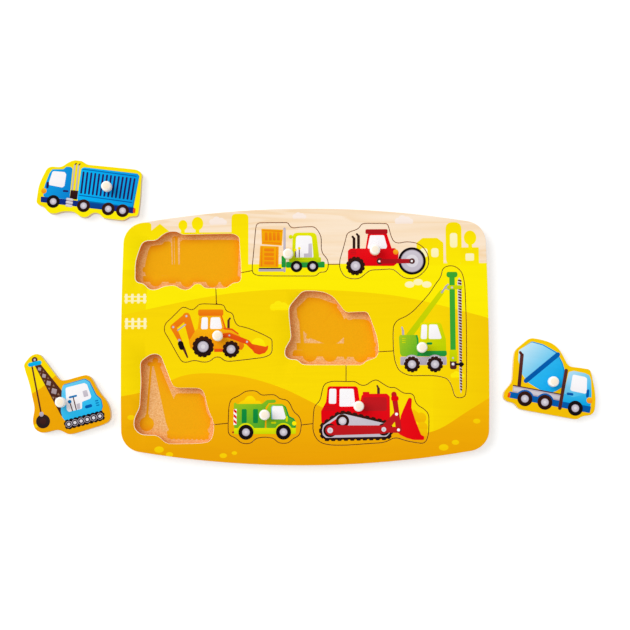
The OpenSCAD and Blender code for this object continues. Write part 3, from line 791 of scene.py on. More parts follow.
# %% Dump truck
dumper = [
    ("sand", soft([
        (-54.8, -56.2), (-52.4, -53.8), (-49.8, -52.4), (-47.2, -52.8), (-38.0, -52.8), (-36.4, -53.2),
        (-34.2, -56.2)], 1.4)),
    ("sand top", soft([
        (-50.0, -55.0), (-48.8, -51.6), (-46.2, -48.9), (-42.8, -48.9), (-40.2, -51.4),
        (-39.0, -55.0)], 1.8)),
    ("leaf", soft([
        (-57.3, -74.9), (-57.6, -54.8), (-56.4, -54.2), (-55.0, -55.4), (-34.7, -55.4), (-30.7, -52.2),
        (-24.2, -52.0), (-23.3, -53.2), (-24.2, -54.6), (-29.3, -54.8), (-31.8, -58.3),
        (-32.4, -74.9)], 0.7)),
]
for left in (-51.2, -42.0):
    dumper.append(("slot green", block(left, -71.0, left + 4.1, -59.5, 1.2)))
dumper.append(("white", block(-57.8, -72.3, -55.2, -59.5, 0.3)))
for i in range(3):
    low = -71.8 + i * 4.3
    dumper.append(("red", soft([
        (-57.7, low + 1.8), (-55.3, low - 0.3), (-55.3, low + 2.0), (-57.7, low + 4.1)], 0.1)))
dumper += [
    ("amber", limb((-31.3, -59.4), (-31.9, -74.0), 1.0)),
    ("leaf", soft([
        (-31.2, -75.4), (-31.0, -60.2), (-28.6, -55.6), (-18.5, -55.5), (-15.2, -57.8), (-12.5, -65.5),
        (-8.8, -67.2), (-7.2, -70.1), (-7.3, -75.4)], 1.6)),
    ("green", soft([
        (-18.9, -55.7), (-15.2, -57.8), (-12.5, -65.5), (-8.8, -67.2), (-7.2, -70.1), (-7.3, -74.8),
        (-8.4, -74.8), (-8.6, -69.4), (-10.2, -67.8), (-13.4, -66.6), (-16.4, -58.2)], 0.5)),
    ("pale blue", soft([
        (-27.2, -58.4), (-26.4, -57.0), (-24.0, -57.0), (-24.0, -67.9), (-27.1, -67.9)], 0.8)),
    ("pane", soft([
        (-26.5, -58.8), (-25.8, -57.2), (-18.0, -57.2), (-15.4, -66.4), (-16.5, -68.0),
        (-26.3, -67.9)], 1.1)),
    ("light lime", limb((-26.6, -70.7), (-24.0, -70.7), 1.6)),
    ("light lime", limb((-14.6, -66.2), (-14.7, -69.2), 1.6)),
    ("bright yellow", disc(-8.6, -71.2, 1.8)),
    ("light lime", block(-57.4, -79.7, -7.3, -74.9, 0.6)),
    ("dark red", disc(-58.1, -78.3, 0.8)),
]
for x in (-47.7, -17.3):
    dumper.append(("light lime", arch(x, -78.2, 7.3)))
    dumper += wheel(x, -78.25, 6.1)
print("areas of the dump truck:", len(dumper))

# %% Bulldozer
crawler = soft([
    (12.2, -77), (13.2, -72.2), (26.8, -62.7), (32.8, -61.8), (66.2, -70.0), (70.2, -74.4), (70.5, -80.3),
    (67.2, -84.0), (16.6, -84.8), (12.9, -81.4)][::-1], 2.5)
crawler_inside = soft([
    (13.9, -77), (14.8, -73.0), (27.3, -64.4), (32.2, -63.8), (65.4, -71.7), (68.4, -75.2), (68.6, -79.4),
    (66.0, -82.2), (17.0, -83.0), (14.5, -80.8)][::-1], 2.0)
dozer = [
    ("heap", disc(93.8, -67.2, 4.4)),
    ("heap", soft([(87.5, -59.6), (91.6, -62.8), (94, -70), (87.5, -70)], 1.0)),
    ("heap", disc(94.8, -74.8, 4.4)),
    ("heap", block(86, -82, 98.9, -76, 1.6)),
    *pipe("coffee", [(59.8, -50), (59.8, -43.4), (58.8, -41.2)], (2.2, 1.5)),
    ("bright red", block(47.0, -50, 52.4, -46.0, 0.8)),
    ("bright red", soft([
        (44.7, -71), (44.9, -54), (46.2, -48.4), (49, -47.6), (66.6, -47.5), (68.9, -49.8), (69.0, -76),
        (46, -76)], 2.0)),
    ("panel red", block(47.3, -61.4, 66.4, -50.3, 2.2)),
    ("red", soft([
        (18.6, -42.4), (19.8, -41.4), (41.6, -41.5), (43.0, -42.8), (45.8, -62.3), (45.8, -76.0),
        (16.0, -76.0), (13.3, -69.6), (13.1, -61.5), (17.2, -54.1)], 1.8)),
    ("pane", soft([(19.4, -55.5), (19.9, -43.4), (25.7, -43.4), (25.4, -55.6)], 1.5)),
    ("pane", soft([(28.0, -57.9), (28.3, -43.4), (39.6, -43.5), (41.0, -57.7)], 1.3)),
    *louvres("dark red", 16.1, 24.4, -57.6, 1.5, 0.5),
    ("tyre", toothed(crawler, 0.95, 27)),
    ("hub", crawler_inside),
    ("red", soft([(18.6, -72.4), (25.6, -67.6), (28.4, -73.6), (19.0, -74.0)][::-1], 0.6)),
    ("tyre", disc(30.5, -69.5, 5.4)),
    ("hub", disc(30.5, -69.5, 3.2)),
    ("hub heart", disc(30.5, -69.5, 2.0)),
    ("tyre", disc(20.4, -77, 5.5)),
    ("tyre", disc(63.8, -76.4, 5.0)),
    ("arm red", limb((20.6, -77), (64.0, -76.5), 8.1, 6.7)),
    ("blade red", soft([
        (83.9, -51.5), (85.4, -50.7), (86.8, -51.9), (86.3, -59.0), (89.0, -68.0), (91.6, -75.1),
        (93.9, -80.8), (96.4, -82.2), (96.2, -85.0), (88.1, -84.9), (82.1, -83.3), (76.9, -80.7),
        (74.8, -78.6), (76.6, -72.0), (77.7, -65.4), (79.9, -60.1)], 1.3)),
    ("arm red", limb((72.3, -48.1), (74.5, -63.7), 4.4, 4.1)),
    ("red", block(69.9, -53.5, 76.1, -49.4, 2.0)),
    ("arm red", limb((63.8, -76.4), (74.2, -64.5), 6.2, 5.0)),
    ("arm red", limb((74.3, -64.3), (76.0, -76.8), 4.4, 4.8)),
    ("arm red", limb((63.8, -76.6), (75.8, -76.8), 4.8)),
    ("white", disc(74.2, -64.1, 1.25)),
    ("white", disc(75.7, -76.8, 1.2)),
]
for x, y, size in ((20.4, -77, 2.3), (63.8, -76.4, 1.9)):
    dozer += [("hub heart", disc(x, y, size)), ("hub", disc(x, y, size * 0.5))]
print("areas of the bulldozer:", len(dozer))

# %% [markdown]
# Each picture has a body of its own in the frame. Three pictures were drawn about their own corner, so
# they're moved to their recess first. A loose piece has been carried and turned since it was sawn, so its
# picture goes from the recess to the table the same way, and one of them has its own ground colour.

# %% Pieces and their pictures
PICTURES = {"container_truck": truck, "forklift": forklift, "road_roller": roller, "backhoe_loader": backhoe,
            "drilling_rig": drill, "wrecking_crane": crane, "concrete_mixer": mixer, "dump_truck": dumper,
            "bulldozer": dozer}
DRAWN_AT = {"container_truck": (-138.4, 38.65), "wrecking_crane": (-137.65, -86.65),
            "concrete_mixer": (-15.6, -23.7)}
UNDER = {"concrete_mixer": [("mixer ground", block(-22, -30, 66, 42, 1))]}
CARRIED = {
    "container_truck": ((-95.4, 62.37), (-177.9, 122.43), -7),
    "wrecking_crane": ((-105.9, -50.9), (-195.75, -43.95), 16),
    "concrete_mixer": ((21.9, 6.3), (201.6, -35.49), -10),
}


def moved(areas, dx, dy):
    return [(ink, [(x + dx, y + dy) for x, y in outline]) for ink, outline in areas]


def from_board(name):
    """The matrix that takes a point of the sheet, in mm, to where the piece lies now."""
    if name not in CARRIED:
        return Matrix.Identity(3)
    home, now, turn = CARRIED[name]
    there = Matrix(((1, 0, now[0]), (0, 1, now[1]), (0, 0, 1)))
    back = Matrix(((1, 0, -home[0]), (0, 1, -home[1]), (0, 0, 1)))
    return there @ Matrix.Rotation(math.radians(turn), 3, "Z") @ back


def carry(matrix, outline):
    return [tuple((matrix @ Vector((x, y, 1))).xy) for x, y in outline]


print("pictures:", len(PICTURES), "and carried pieces:", len(CARRIED))

# %% [markdown]
# The sawn outlines are read from the solid model, so a piece and its recess keep their true kerf. The
# loops that bound a flat top face are found by walking its border edges: the outer loop runs one way
# round, and the loops of its holes run the other way, which also says on which side the wood is.

# %% Read the sawn outlines
WELD = 2e-6
FLAT = 0.001


def border_loops(faces):
    """Loops of border vertices of some faces of a mesh, with the faces on the left."""
    chosen = set(faces)
    onward = {}
    for face in faces:
        for corner in face.loops:
            if not any(other in chosen for other in corner.edge.link_faces if other is not face):
                onward[corner.vert] = corner.link_loop_next.vert
    loops = []
    while onward:
        vert = next(iter(onward))
        loop = []
        while vert in onward:
            loop.append(vert)
            vert = onward.pop(vert)
        loops.append(loop)
    return loops


def area_of(loop):
    """The area of a loop, more than 0 where the loop runs to the left."""
    return sum(a[0] * b[1] - b[0] * a[1] for a, b in sides(loop)) / 2


def spaced(points, least=0.12):
    """The loop without points that lie closer than the least distance to the one before."""
    kept = []
    for point in points:
        if not kept or math.dist(point, kept[-1]) > least:
            kept.append(point)
    if math.dist(kept[0], kept[-1]) < least:
        kept.pop()
    return kept


def sawn_outlines(node):
    """The outer loop and the hole loops of a node's top face in mm, and its heights."""
    mesh = bmesh.new()
    mesh.from_mesh(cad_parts[node].data)
    bmesh.ops.remove_doubles(mesh, verts=mesh.verts, dist=WELD)
    heights = sorted({round(v.co.z / MM, 3) for v in mesh.verts})
    top = [f for f in mesh.faces if all(abs(v.co.z / MM - heights[-1]) < FLAT for v in f.verts)]
    loops = [spaced([(v.co.x / MM, v.co.y / MM) for v in loop]) for loop in border_loops(top)]
    mesh.free()
    loops.sort(key=area_of, reverse=True)
    return loops, heights


for node in ("top_panel", "bulldozer_plate"):
    loops, heights = sawn_outlines(node)
    print(node, "loops", [len(loop) for loop in loops], "heights", heights)

# %% [markdown]
# A printed face is a flat face that has been cut along the border of every ink area. A constrained
# triangulation does all these cuts at once and says which areas each triangle lies in, so the last area
# painted gives its ink. The edges of the print stay exact at any size, with no picture file.

# %% Cut a face along its inks
SHARPEST = 0.35
INSIDE_ONLY = 1
MERGE = 1e-4


def about_box(outline):
    """The left, low, right and high limit of an outline."""
    xs, ys = zip(*outline)
    return min(xs), min(ys), max(xs), max(ys)


def reaches(outline, box):
    left, low, right, high = about_box(outline)
    return left < box[2] and right > box[0] and low < box[3] and high > box[1]


def inset(loop, distances):
    """The loop moved towards its wood, by a distance in mm for each of its points."""
    made = []
    for i, (corner, after) in enumerate(sides(loop)):
        here = Vector(corner)
        one = (here - Vector(loop[i - 1])).normalized()
        two = (Vector(after) - here).normalized()
        first = Vector((-one.y, one.x))
        second = Vector((-two.y, two.x))
        made.append(tuple(here + (first + second) * (distances[i] / max(SHARPEST, 1 + first.dot(second)))))
    return made


def cut_face(loops, areas, inner=()):
    """The face inside the loops: points, triangles with their area, borders, and its points on the loops."""
    points = []
    faces = []
    for outline in loops + [outline for ink, outline in areas]:
        ring = list(range(len(points), len(points) + len(outline)))
        points += [Vector(p) for p in outline]
        faces.append(ring if area_of(outline) > 0 else ring[::-1])
    points += [Vector(p) for p in inner]
    made, _, parts, from_points, _, from_faces = delaunay_2d_cdt(points, [], faces, INSIDE_ONLY, MERGE, True)
    kept = []
    for part, sources in zip(parts, from_faces):
        if 0 in sources and not any(0 < s < len(loops) for s in sources):
            top = max(sources)
            kept.append((part, top - len(loops) if top >= len(loops) else None))
    edges = {edge: area for part, area in kept for edge in sides(part)}
    onward = {a: (b, area) for (a, b), area in edges.items() if (b, a) not in edges}
    borders = []
    while onward:
        vert = next(iter(onward))
        ring = []
        while vert in onward:
            after, area = onward.pop(vert)
            ring.append((vert, area))
            vert = after
        borders.append(ring)
    corners = sum(len(loop) for loop in loops)
    known = {v: min(s for s in source if s < corners)
             for v, source in enumerate(from_points) if any(s < corners for s in source)}
    return made, kept, borders, known


def outer_points(ring, made, known, sawn):
    """Where each border point of the inset face meets the sawn side, and the last sawn corner before it."""
    verts = [v for v, area in ring]
    marks = [i for i, v in enumerate(verts) if v in known]
    places = {}
    for mark, following in zip(marks, marks[1:] + [marks[0] + len(ring)]):
        a = verts[mark]
        b = verts[following % len(ring)]
        whole = max(1e-9, (made[b] - made[a]).length)
        for i in range(mark, following):
            v = verts[i % len(ring)]
            share = (made[v] - made[a]).length / whole
            places[v] = (Vector(sawn[known[a]]).lerp(Vector(sawn[known[b]]), share), known[a])
    return places


print("cutting tools ready")

# %% Shade of an ink at a place
BARE = (0.9, 0.72, 0.5, 0.0)


def ink_at(area, areas, boxes, x, y):
    """Colour and cover of a printed area at a point, graded between the ink's two shades."""
    if area is None:
        return BARE
    ink = areas[area][0]
    top, foot, *leaning = INKS[ink]
    angle = math.radians(leaning[0] if leaning else 90)
    left, low, right, high = boxes[area]
    along = (x - left) * math.cos(angle) + (high - y) * math.sin(angle)
    whole = (right - left) * math.cos(angle) + (high - low) * math.sin(angle)
    share = min(1, max(0, along / max(0.01, whole)))
    mixed = [a + (b - a) * share for a, b in zip(top, foot)]
    return colour(*mixed, SEE_THROUGH.get(ink, 1.0))


middle_shade = ink_at(0, [("lamp", [])], [(0, 0, 2, 2)], 1, 1)
print("the lamp's ink at its middle:", [round(value, 3) for value in middle_shade])

# %% [markdown]
# A sawn sheet is a closed body: the printed face, a narrow rim where the sandpaper has taken the sharp edge,
# the sawn side, a lower rim and the bare underside. Most rims keep their ink. Those of the empty recesses
# are wider and bare pale wood, and wider still on their left, where that extra width is a painted highlight.
# Every point also carries its place in the uncut sheet, so the grain runs on from the board into each piece,
# even into one that lies turned on the table.

# %% Points and faces of a sheet
class SheetMesh:
    """A sheet in making, in mm. Points carry their place in the uncut sheet, and corners carry ink."""

    def __init__(self, low, matrix):
        self.mesh = bmesh.new()
        self.ink = self.mesh.loops.layers.float_color.new("ink")
        self.place = self.mesh.verts.layers.float_vector.new("sheet")
        self.painted_shade = self.mesh.verts.layers.float.new("painted_shade")
        self.low = low
        self.back = matrix.inverted()

    def point(self, x, y, z, painted_shade=0.0):
        vert = self.mesh.verts.new((x * MM, y * MM, z * MM))
        home = self.back @ Vector((x, y, 1))
        vert[self.place] = (home.x * MM, home.y * MM, (z - self.low) * MM)
        vert[self.painted_shade] = painted_shade
        return vert

    def face(self, verts, slot, inks=None):
        made = self.mesh.faces.new(verts)
        made.material_index = slot
        for corner, ink in zip(made.loops, inks or [BARE] * len(verts)):
            corner[self.ink] = ink


def finish_mesh(name, mesh, materials, crease):
    """An object from a mesh in making: smooth, but sharp where it bends more
    than the crease in degrees."""
    data = bpy.data.meshes.new(name)
    mesh.to_mesh(data)
    mesh.free()
    for face in data.polygons:
        face.use_smooth = True
    data.set_sharp_from_angle(angle=math.radians(crease))
    for material in materials:
        data.materials.append(material)
    return put(name, data)


print("layers of a sheet: ink, sheet and stain")

# %% Rims
PLAIN_RIM = (0.16, 0.16, 0.92)
# The pale wood of the empty recesses' rims, brighter than the board's wood: partly a painted highlight.
BARE_WOOD_WITH_HIGHLIGHT = colour(255, 246, 226, 0.85)


def plain_rim(place):
    """Width, drop and left ink of a rim that was only touched by the sandpaper."""
    return PLAIN_RIM


def rim_inks(one, two, keep):
    """Inks of the four corners of a rim's face, between two points of the print and the side below them."""
    if keep == 0:
        return [BARE_WOOD_WITH_HIGHLIGHT] * 4
    worn = [(*ink[:3], ink[3] * keep) for ink in (one, two)]
    return [one, worn[0], worn[1], two]


print("width and drop of a plain rim in mm:", PLAIN_RIM[:2])

# %% [markdown]
# The sheet is then closed all round. Below each border point of the print stand the points of the rim and
# of the sawn side, one under another, and neighbours are joined by faces. A blind bore ends on its own
# floor. Any other side goes down to the underside, which is one more cut face, with no ink.

# %% Build a sawn sheet
SHEET_CREASE = 25


def sawn_sheet(name, loops, heights, areas, materials, body, matrix, rim_at=plain_rim, inner=(),
               painted_shade_at=None):
    """A closed mesh of a printed sheet; rim_at gives the rim's width, drop and left ink at a place.
    The points inner are added to the printed face, and the last argument gives the painted shade of each
    place of it.
    A sheet with a third height between its foot and its top has a blind bore in its hole."""
    low, high = heights[0], heights[-1]
    box = about_box(loops[0])
    areas = [(ink, outline) for ink, outline in areas if reaches(outline, box)]
    boxes = [about_box(outline) for ink, outline in areas]
    rims = [[rim_at(Vector(p)) for p in loop] for loop in loops]
    face_loops = [inset(loop, [rim[0] for rim in row]) for loop, row in zip(loops, rims)]
    rims = [rim for row in rims for rim in row]
    sawn = [p for loop in loops for p in loop]
    made, kept, borders, known = cut_face(face_loops, areas, inner)
    sheet = SheetMesh(low, matrix)
    top = {}
    for v in dict.fromkeys(v for part, area in kept for v in part):
        top[v] = sheet.point(*made[v], high, painted_shade_at(made[v]) if painted_shade_at else 0.0)
    for part, area in kept:
        sheet.face([top[v] for v in part], 0, [ink_at(area, areas, boxes, *made[v]) for v in part])
    feet = []
    for ring in borders:
        places = outer_points(ring, made, known, sawn)
        outline = [tuple(made[v]) for v, area in ring]
        is_hole = area_of(outline) < 0
        is_bore = is_hole and len(heights) > 2
        slot = 2 if is_hole and len(materials) > 2 else 1
        rows = []
        for v, area in ring:
            out, corner = places[v]
            drop = rims[corner][1]
            levels = [(out, heights[1])] if is_bore else [(out, low + drop), (made[v], low)]
            below = [sheet.point(*place, z) for place, z in [(out, high - drop)] + levels]
            rows.append([top[v]] + below)
        for (a, b), ((v, area), (after, _)) in zip(sides(rows), sides(ring)):
            one, two = (ink_at(area, areas, boxes, *made[end]) for end in (v, after))
            sheet.face([a[0], a[1], b[1], b[0]], 0, rim_inks(one, two, rims[places[v][1]][2]))
            for k in range(1, len(a) - 1):
                sheet.face([a[k], a[k + 1], b[k + 1], b[k]], slot)
        if is_bore:
            sheet.face([row[-1] for row in rows][::-1], slot)
        else:
            feet.append((outline, [row[-1] for row in rows]))
    feet.sort(key=lambda foot: area_of(foot[0]), reverse=True)
    verts = [vert for outline, row in feet for vert in row]
    _, under, _, known = cut_face([outline for outline, row in feet], [])
    for part, area in under:
        sheet.face([verts[known[v]] for v in part][::-1], 0)
    sheet.mesh.normal_update()
    open_edges = sum(1 for edge in sheet.mesh.edges if len(edge.link_faces) != 2)
    piece = finish_mesh(name, sheet.mesh, materials, SHEET_CREASE)
    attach(piece, body)
    print(name, "faces", len(piece.data.polygons), "open edges", open_edges)
    return piece

# %% [markdown]
# The board is pale plywood. Its face grain runs along the board: growth lines that wander and part, each
# slowly darker towards its late wood and then pale again at once, with fine streaks and pores. One smooth
# noise, stretched along the board, is cut into such years by the fraction of a multiple of it. The grain is
# a node group, because the printed faces, the bare sky and the sawn sides all show it.

# %% Node group for the wood grain
YEARS = 9
EVEN = (1, 1, 1)


def noise(tree, vector, stretch, scale, detail=4.0, rough=0.55, warp=0.0):
    """A noise texture on a stretched vector; returns its value socket."""
    stretched = add(tree, "ShaderNodeMapping", vector, Scale=stretch).outputs[0]
    return add(tree, "ShaderNodeTexNoise", stretched, Scale=scale, Detail=detail, Roughness=rough,
               Distortion=warp).outputs["Fac"]


def ramp(tree, value, *stops):
    """A colour ramp over (place, colour) stops, where one number is a grey; returns its colour socket."""
    made = add(tree, "ShaderNodeValToRGB", value)
    bands = made.color_ramp.elements
    while len(bands) < len(stops):
        bands.new(0.5)
    for band, (place, shade) in zip(bands, stops):
        band.position = place
        band.color = shade if isinstance(shade, tuple) else (shade, shade, shade, 1)
    return made.outputs["Color"]


def mix(tree, share, one, two, way="MIX"):
    """A colour mix; each of share, one and two is a socket or a plain value."""
    made = add(tree, "ShaderNodeMix", data_type="RGBA", blend_type=way)
    for i, value in ((0, share), (6, one), (7, two)):
        give(tree, made.inputs[i], value)
    return made.outputs[2]


def times(tree, one, two):
    return mix(tree, 1.0, one, two, "MULTIPLY")


grain_group = bpy.data.node_groups.new("wood_grain", "ShaderNodeTree")
for label, kind, value in (("Sheet", "Vector", None), ("Pale", "Color", colour(254, 236, 215)),
                           ("Dark", "Color", colour(245, 212, 168))):
    made = grain_group.interface.new_socket(label, in_out="INPUT", socket_type="NodeSocket" + kind)
    if value is not None:
        made.default_value = value
for label, kind in (("Color", "Color"), ("Streak", "Float"), ("Height", "Float")):
    grain_group.interface.new_socket(label, in_out="OUTPUT", socket_type="NodeSocket" + kind)
given = add(grain_group, "NodeGroupInput").outputs
growth = noise(grain_group, given["Sheet"], (3.4, 40, 30), 1.0, detail=2, rough=0.45, warp=0.5)
year = maths(grain_group, "FRACT", maths(grain_group, "MULTIPLY", growth, YEARS))
late_wood = ramp(grain_group, year, (0.0, 1), (0.35, 0.9), (0.8, 0.25), (0.9, 0.1), (1.0, 1))
streaks = noise(grain_group, given["Sheet"], (8, 170, 60), 1.6, detail=4, rough=0.6, warp=0.4)
fine = ramp(grain_group, streaks, (0.34, 0), (0.66, 1))
broad_noise = noise(grain_group, given["Sheet"], (5, 26, 20), 1.0, detail=2, rough=0.5, warp=0.8)
broad = ramp(grain_group, broad_noise, (0.35, 0), (0.65, 1))
pores = noise(grain_group, given["Sheet"], (60, 900, 300), 1.0, detail=2, rough=0.5)
streak = mix(grain_group, 0.5, mix(grain_group, 0.45, broad, fine), late_wood)
tone = mix(grain_group, streak, given["Dark"], given["Pale"])
add(grain_group, "NodeGroupOutput", Color=tone, Streak=streak, Height=pores)
print("wood grain group nodes:", len(grain_group.nodes))

# %% [markdown]
# Ink on wood is opaque, but the grain under it still shades it by a few percent and the pores roughen its
# satin film. The ink and its cover come from the corner colours that the cut face carries.

# %% Material for printed wood
FIBRE_DEPTH = 0.0002


def carried(tree, layer):
    """What each point or corner of the mesh carries in a layer of that name."""
    return add(tree, "ShaderNodeAttribute", attribute_name=layer).outputs


def grain_at(tree, sheet, **tones):
    return add(tree, "ShaderNodeGroup", node_tree=grain_group, Sheet=sheet, **tones).outputs


def rough_up(tree, shader, height, strength, depth=FIBRE_DEPTH):
    """Bump a surface by a value; the depth is in metres."""
    bump = add(tree, "ShaderNodeBump", Height=height, Strength=strength, Distance=depth)
    give(tree, shader.inputs["Normal"], bump.outputs["Normal"])


printed_wood, tree, shader = new_material("printed_wood", Specular_IOR_Level=0.03)
ink = carried(tree, "ink")
grain = grain_at(tree, carried(tree, "sheet")["Vector"])
shade = mix(tree, grain["Streak"], (0.965, 0.955, 0.95, 1), WHITE)
film = times(tree, ink["Color"], shade)
give(tree, shader.inputs["Base Color"], mix(tree, ink["Alpha"], grain["Color"], film))
gloss = add(tree, "ShaderNodeMapRange", grain["Height"], To_Min=0.42, To_Max=0.56)
give(tree, shader.inputs["Roughness"], gloss.outputs[0])
rough_up(tree, shader, grain["Height"], 0.12)
print("printed wood nodes:", len(tree.nodes))

# %% [markdown]
# The sawn side shows the plies: five layers whose grain turns a quarter each time, so long-grain layers
# are pale and end-grain layers are darker, with a thin glue line between them. Outer sides are sanded pale.
# The walls inside the recesses get the same recipe placed twice, with darker and warmer colours of their
# own: painted shade, as these walls stand in shade. The layers come from the height that each point carries.

# %% Material for sawn plywood
PLY = 0.0012


def sawn_side(name, pale, dark, glue, end_grain):
    """Bare sawn wood in plies; glue and end grain are tints over the tones of the long grain."""
    material, tree, shader = new_material(name, Roughness=0.75, Specular_IOR_Level=0.2)
    sheet = carried(tree, "sheet")["Vector"]
    grain = grain_at(tree, sheet, Pale=pale, Dark=dark)
    height = add(tree, "ShaderNodeSeparateXYZ", sheet).outputs["Z"]
    pair = maths(tree, "FRACT", maths(tree, "DIVIDE", height, PLY * 2))
    turned = ramp(tree, pair, (0.0, glue), (0.05, 1), (0.46, 1), (0.5, glue), (0.55, end_grain),
                  (0.96, end_grain), (1.0, glue))
    speck = noise(tree, sheet, EVEN, 2600, detail=3, rough=0.6)
    fibre = ramp(tree, speck, (0.3, (0.9, 0.86, 0.8, 1)), (0.65, 1))
    give(tree, shader.inputs["Base Color"], times(tree, times(tree, grain["Color"], turned), fibre))
    rough_up(tree, shader, speck, 0.25)
    return material


ply_side = sawn_side("sawn_plywood", colour(254, 240, 216), colour(246, 222, 184), (0.84, 0.74, 0.6, 1),
                     (0.93, 0.88, 0.8, 1))
# The recess walls: a darker, warmer copy of the sawn plywood, which is painted shade.
painted_shade_wall = sawn_side("painted_shade_wall", colour(255, 182, 58), colour(236, 134, 34), (0.8, 0.6, 0.42, 1),
                        (0.92, 0.78, 0.62, 1))
print("sawn plywood nodes:", len(ply_side.node_tree.nodes))

# %% [markdown]
# The recesses are closed by a thin pressed-fibre board. It is an even tan with fine paler and darker
# specks, and a flat orange shadow of each vehicle is printed on it, which tells a child where it belongs.
# Along the walls of a recess the sheet is painted a deeper orange, most and widest at its upper left where
# the walls cast their shade: painted shade, stronger on the print than on the bare fibre. Each point of this
# sheet carries how much painted shade it has, and the material deepens by that.

# %% Material for the pressed-fibre backing
pressed_fibre, tree, shader = new_material("pressed_fibre", Roughness=0.75, Specular_IOR_Level=0.1)
ink = carried(tree, "ink")
sheet = carried(tree, "sheet")["Vector"]
painted_shade = carried(tree, "painted_shade")["Fac"]
speck = noise(tree, sheet, EVEN, 900, detail=6, rough=0.75)
cloudy = noise(tree, sheet, EVEN, 60, detail=3, rough=0.6)
fibre = ramp(tree, speck, (0.28, colour(206, 132, 66)), (0.46, colour(242, 178, 108)),
             (0.56, colour(250, 194, 128)), (0.72, colour(255, 222, 172)))
bare = times(tree, fibre, ramp(tree, cloudy, (0.3, (0.93, 0.91, 0.88, 1)), (0.7, 1)))
film = times(tree, ink["Color"], ramp(tree, speck, (0.3, 0.93), (0.6, 1)))
# Painted shade: a deeper orange towards the recess walls, stronger on the print than on the bare fibre.
painted_shade_on_fibre = ramp(tree, painted_shade, (0.0, 1), (0.4, (0.995, 0.95, 0.9, 1)), (0.75, (0.98, 0.88, 0.72, 1)),
              (1.0, (0.92, 0.72, 0.46, 1)))
painted_shade_on_print = ramp(tree, painted_shade, (0.0, 1), (0.35, (0.985, 0.88, 0.74, 1)), (0.75, (0.95, 0.68, 0.46, 1)),
                   (1.0, (0.9, 0.56, 0.3, 1)))
shaded_fibre_colour = mix(tree, ink["Alpha"], times(tree, bare, painted_shade_on_fibre), times(tree, film, painted_shade_on_print))
give(tree, shader.inputs["Base Color"], shaded_fibre_colour)
rough_up(tree, shader, speck, 0.2)
print("pressed fibre nodes:", len(tree.nodes))

# %% [markdown]
# Now the sheets themselves: the panel with the ground print, the backing with the shadows, and the nine
# pieces, each with the ground under its own vehicle. The rims of the empty recesses are bare pale wood,
# widest on the left, where the extra width is a painted highlight, so the distance to a recess chooses the
# rim of each point of the panel.

# %% Panel and backing
# Pale bare rims of the empty recesses; their extra width on a recess's left is a painted highlight.
BARE_RIM_WITH_HIGHLIGHT = (0.2, 0.18, 0.0)
PAINTED_HIGHLIGHT_WIDTH = 0.26
PAINTED_HIGHLIGHT_SPREAD = 0.45
BARE_RIM_REACH = 0.9
STOP_AT = 1.0
home = Matrix.Identity(3)
recesses = {}
for name in PICTURES:
    recess = carry(from_board(name).inverted(), sawn_outlines(name + "_plate")[0][0])
    recesses[name] = (about_box(recess), recess)


def is_near(box, place, margin):
    left, low, right, high = box
    return left - margin < place.x < right + margin and low - margin < place.y < high + margin


def gap_to(outline, place):
    """The least distance in mm from a place to a closed outline."""
    least = 1e9
    for start, end in sides(outline):
        a = Vector(start)
        span = Vector(end) - a
        share = min(1, max(0, (place - a).dot(span) / max(1e-9, span.length_squared)))
        least = min(least, (place - a - span * share).length)
    return least


def panel_rim(place):
    """The rims of the empty recesses are bare pale wood, widened on their left as a painted highlight. Others
    are plain.
    """
    for box, recess in [recesses[name] for name in CARRIED]:
        if is_near(box, place, 1) and gap_to(recess, place) < BARE_RIM_REACH:
            left, low, right, high = box
            share = max(0, 1 - (place.x - left) / (PAINTED_HIGHLIGHT_SPREAD * (right - left)))
            return (BARE_RIM_WITH_HIGHLIGHT[0] + PAINTED_HIGHLIGHT_WIDTH * share, *BARE_RIM_WITH_HIGHLIGHT[1:])
    return PLAIN_RIM


def stopped(loop):
    """The loop with a stop on each long side that leaves an empty recess, where the bare pale rim ends."""
    made = []
    for start, end in sides(loop):
        a = Vector(start)
        b = Vector(end)
        made.append(start)
        bare_ends = [panel_rim(place)[2] == 0 for place in (a, b)]
        if bare_ends[0] != bare_ends[1] and (b - a).length > 1.5 * STOP_AT:
            share = STOP_AT / (b - a).length
            made.append(tuple(a.lerp(b, share if bare_ends[0] else 1 - share)))
    return made


loops, heights = sawn_outlines("top_panel")
loops = [stopped(loop) for loop in loops]
materials = [printed_wood, ply_side, painted_shade_wall]
panel = sawn_sheet("printed_panel", loops, heights, ground, materials, "board", home, panel_rim)
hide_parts("top_panel")

# %% Shadows printed on the backing
SHADOW_FIT = {
    "container_truck": (1.01, 1.05, 1.4, -2.2),
    "wrecking_crane": (1.031, 1.027, 0.2, -1.6),
    "concrete_mixer": (1.0, 1.0, 2.0, -1.1),
}
SHADOW_FILLS = {
    "container_truck": [block(24, 9, 35, 22.4, 0.3), limb((29.9, 44), (30.5, 22), 1.8)],
    "wrecking_crane": [limb((11.1, 62.5), (8.4, 23.4), 1.7)],
    "concrete_mixer": [block(44, 25.6, 52, 38.2, 0.5), block(47, 12, 52, 30, 0.5)],
}
shadows = []
for name, areas in PICTURES.items():
    wide, tall, right, up = SHADOW_FIT.get(name, (1, 1, 0, 0))
    dx, dy = DRAWN_AT.get(name, (0, 0))
    for outline in [outline for ink, outline in areas] + SHADOW_FILLS.get(name, []):
        shadow = [(x * wide + right + dx, y * tall + up + dy) for x, y in outline]
        shadows.append(("silhouette", shadow))
print("printed shadow areas:", len(shadows))

# %% The backing with its painted shade
# Painted shade on the backing near each recess wall, most and widest at the upper left.
PAINTED_SHADE_LEFT = 0.75
PAINTED_SHADE_REACH = (4, 7)
PAINTED_SHADE_DEPTH = (0.2, 0.9)
PAINTED_SHADE_STEP = 2.3
STAGGER = 0.5


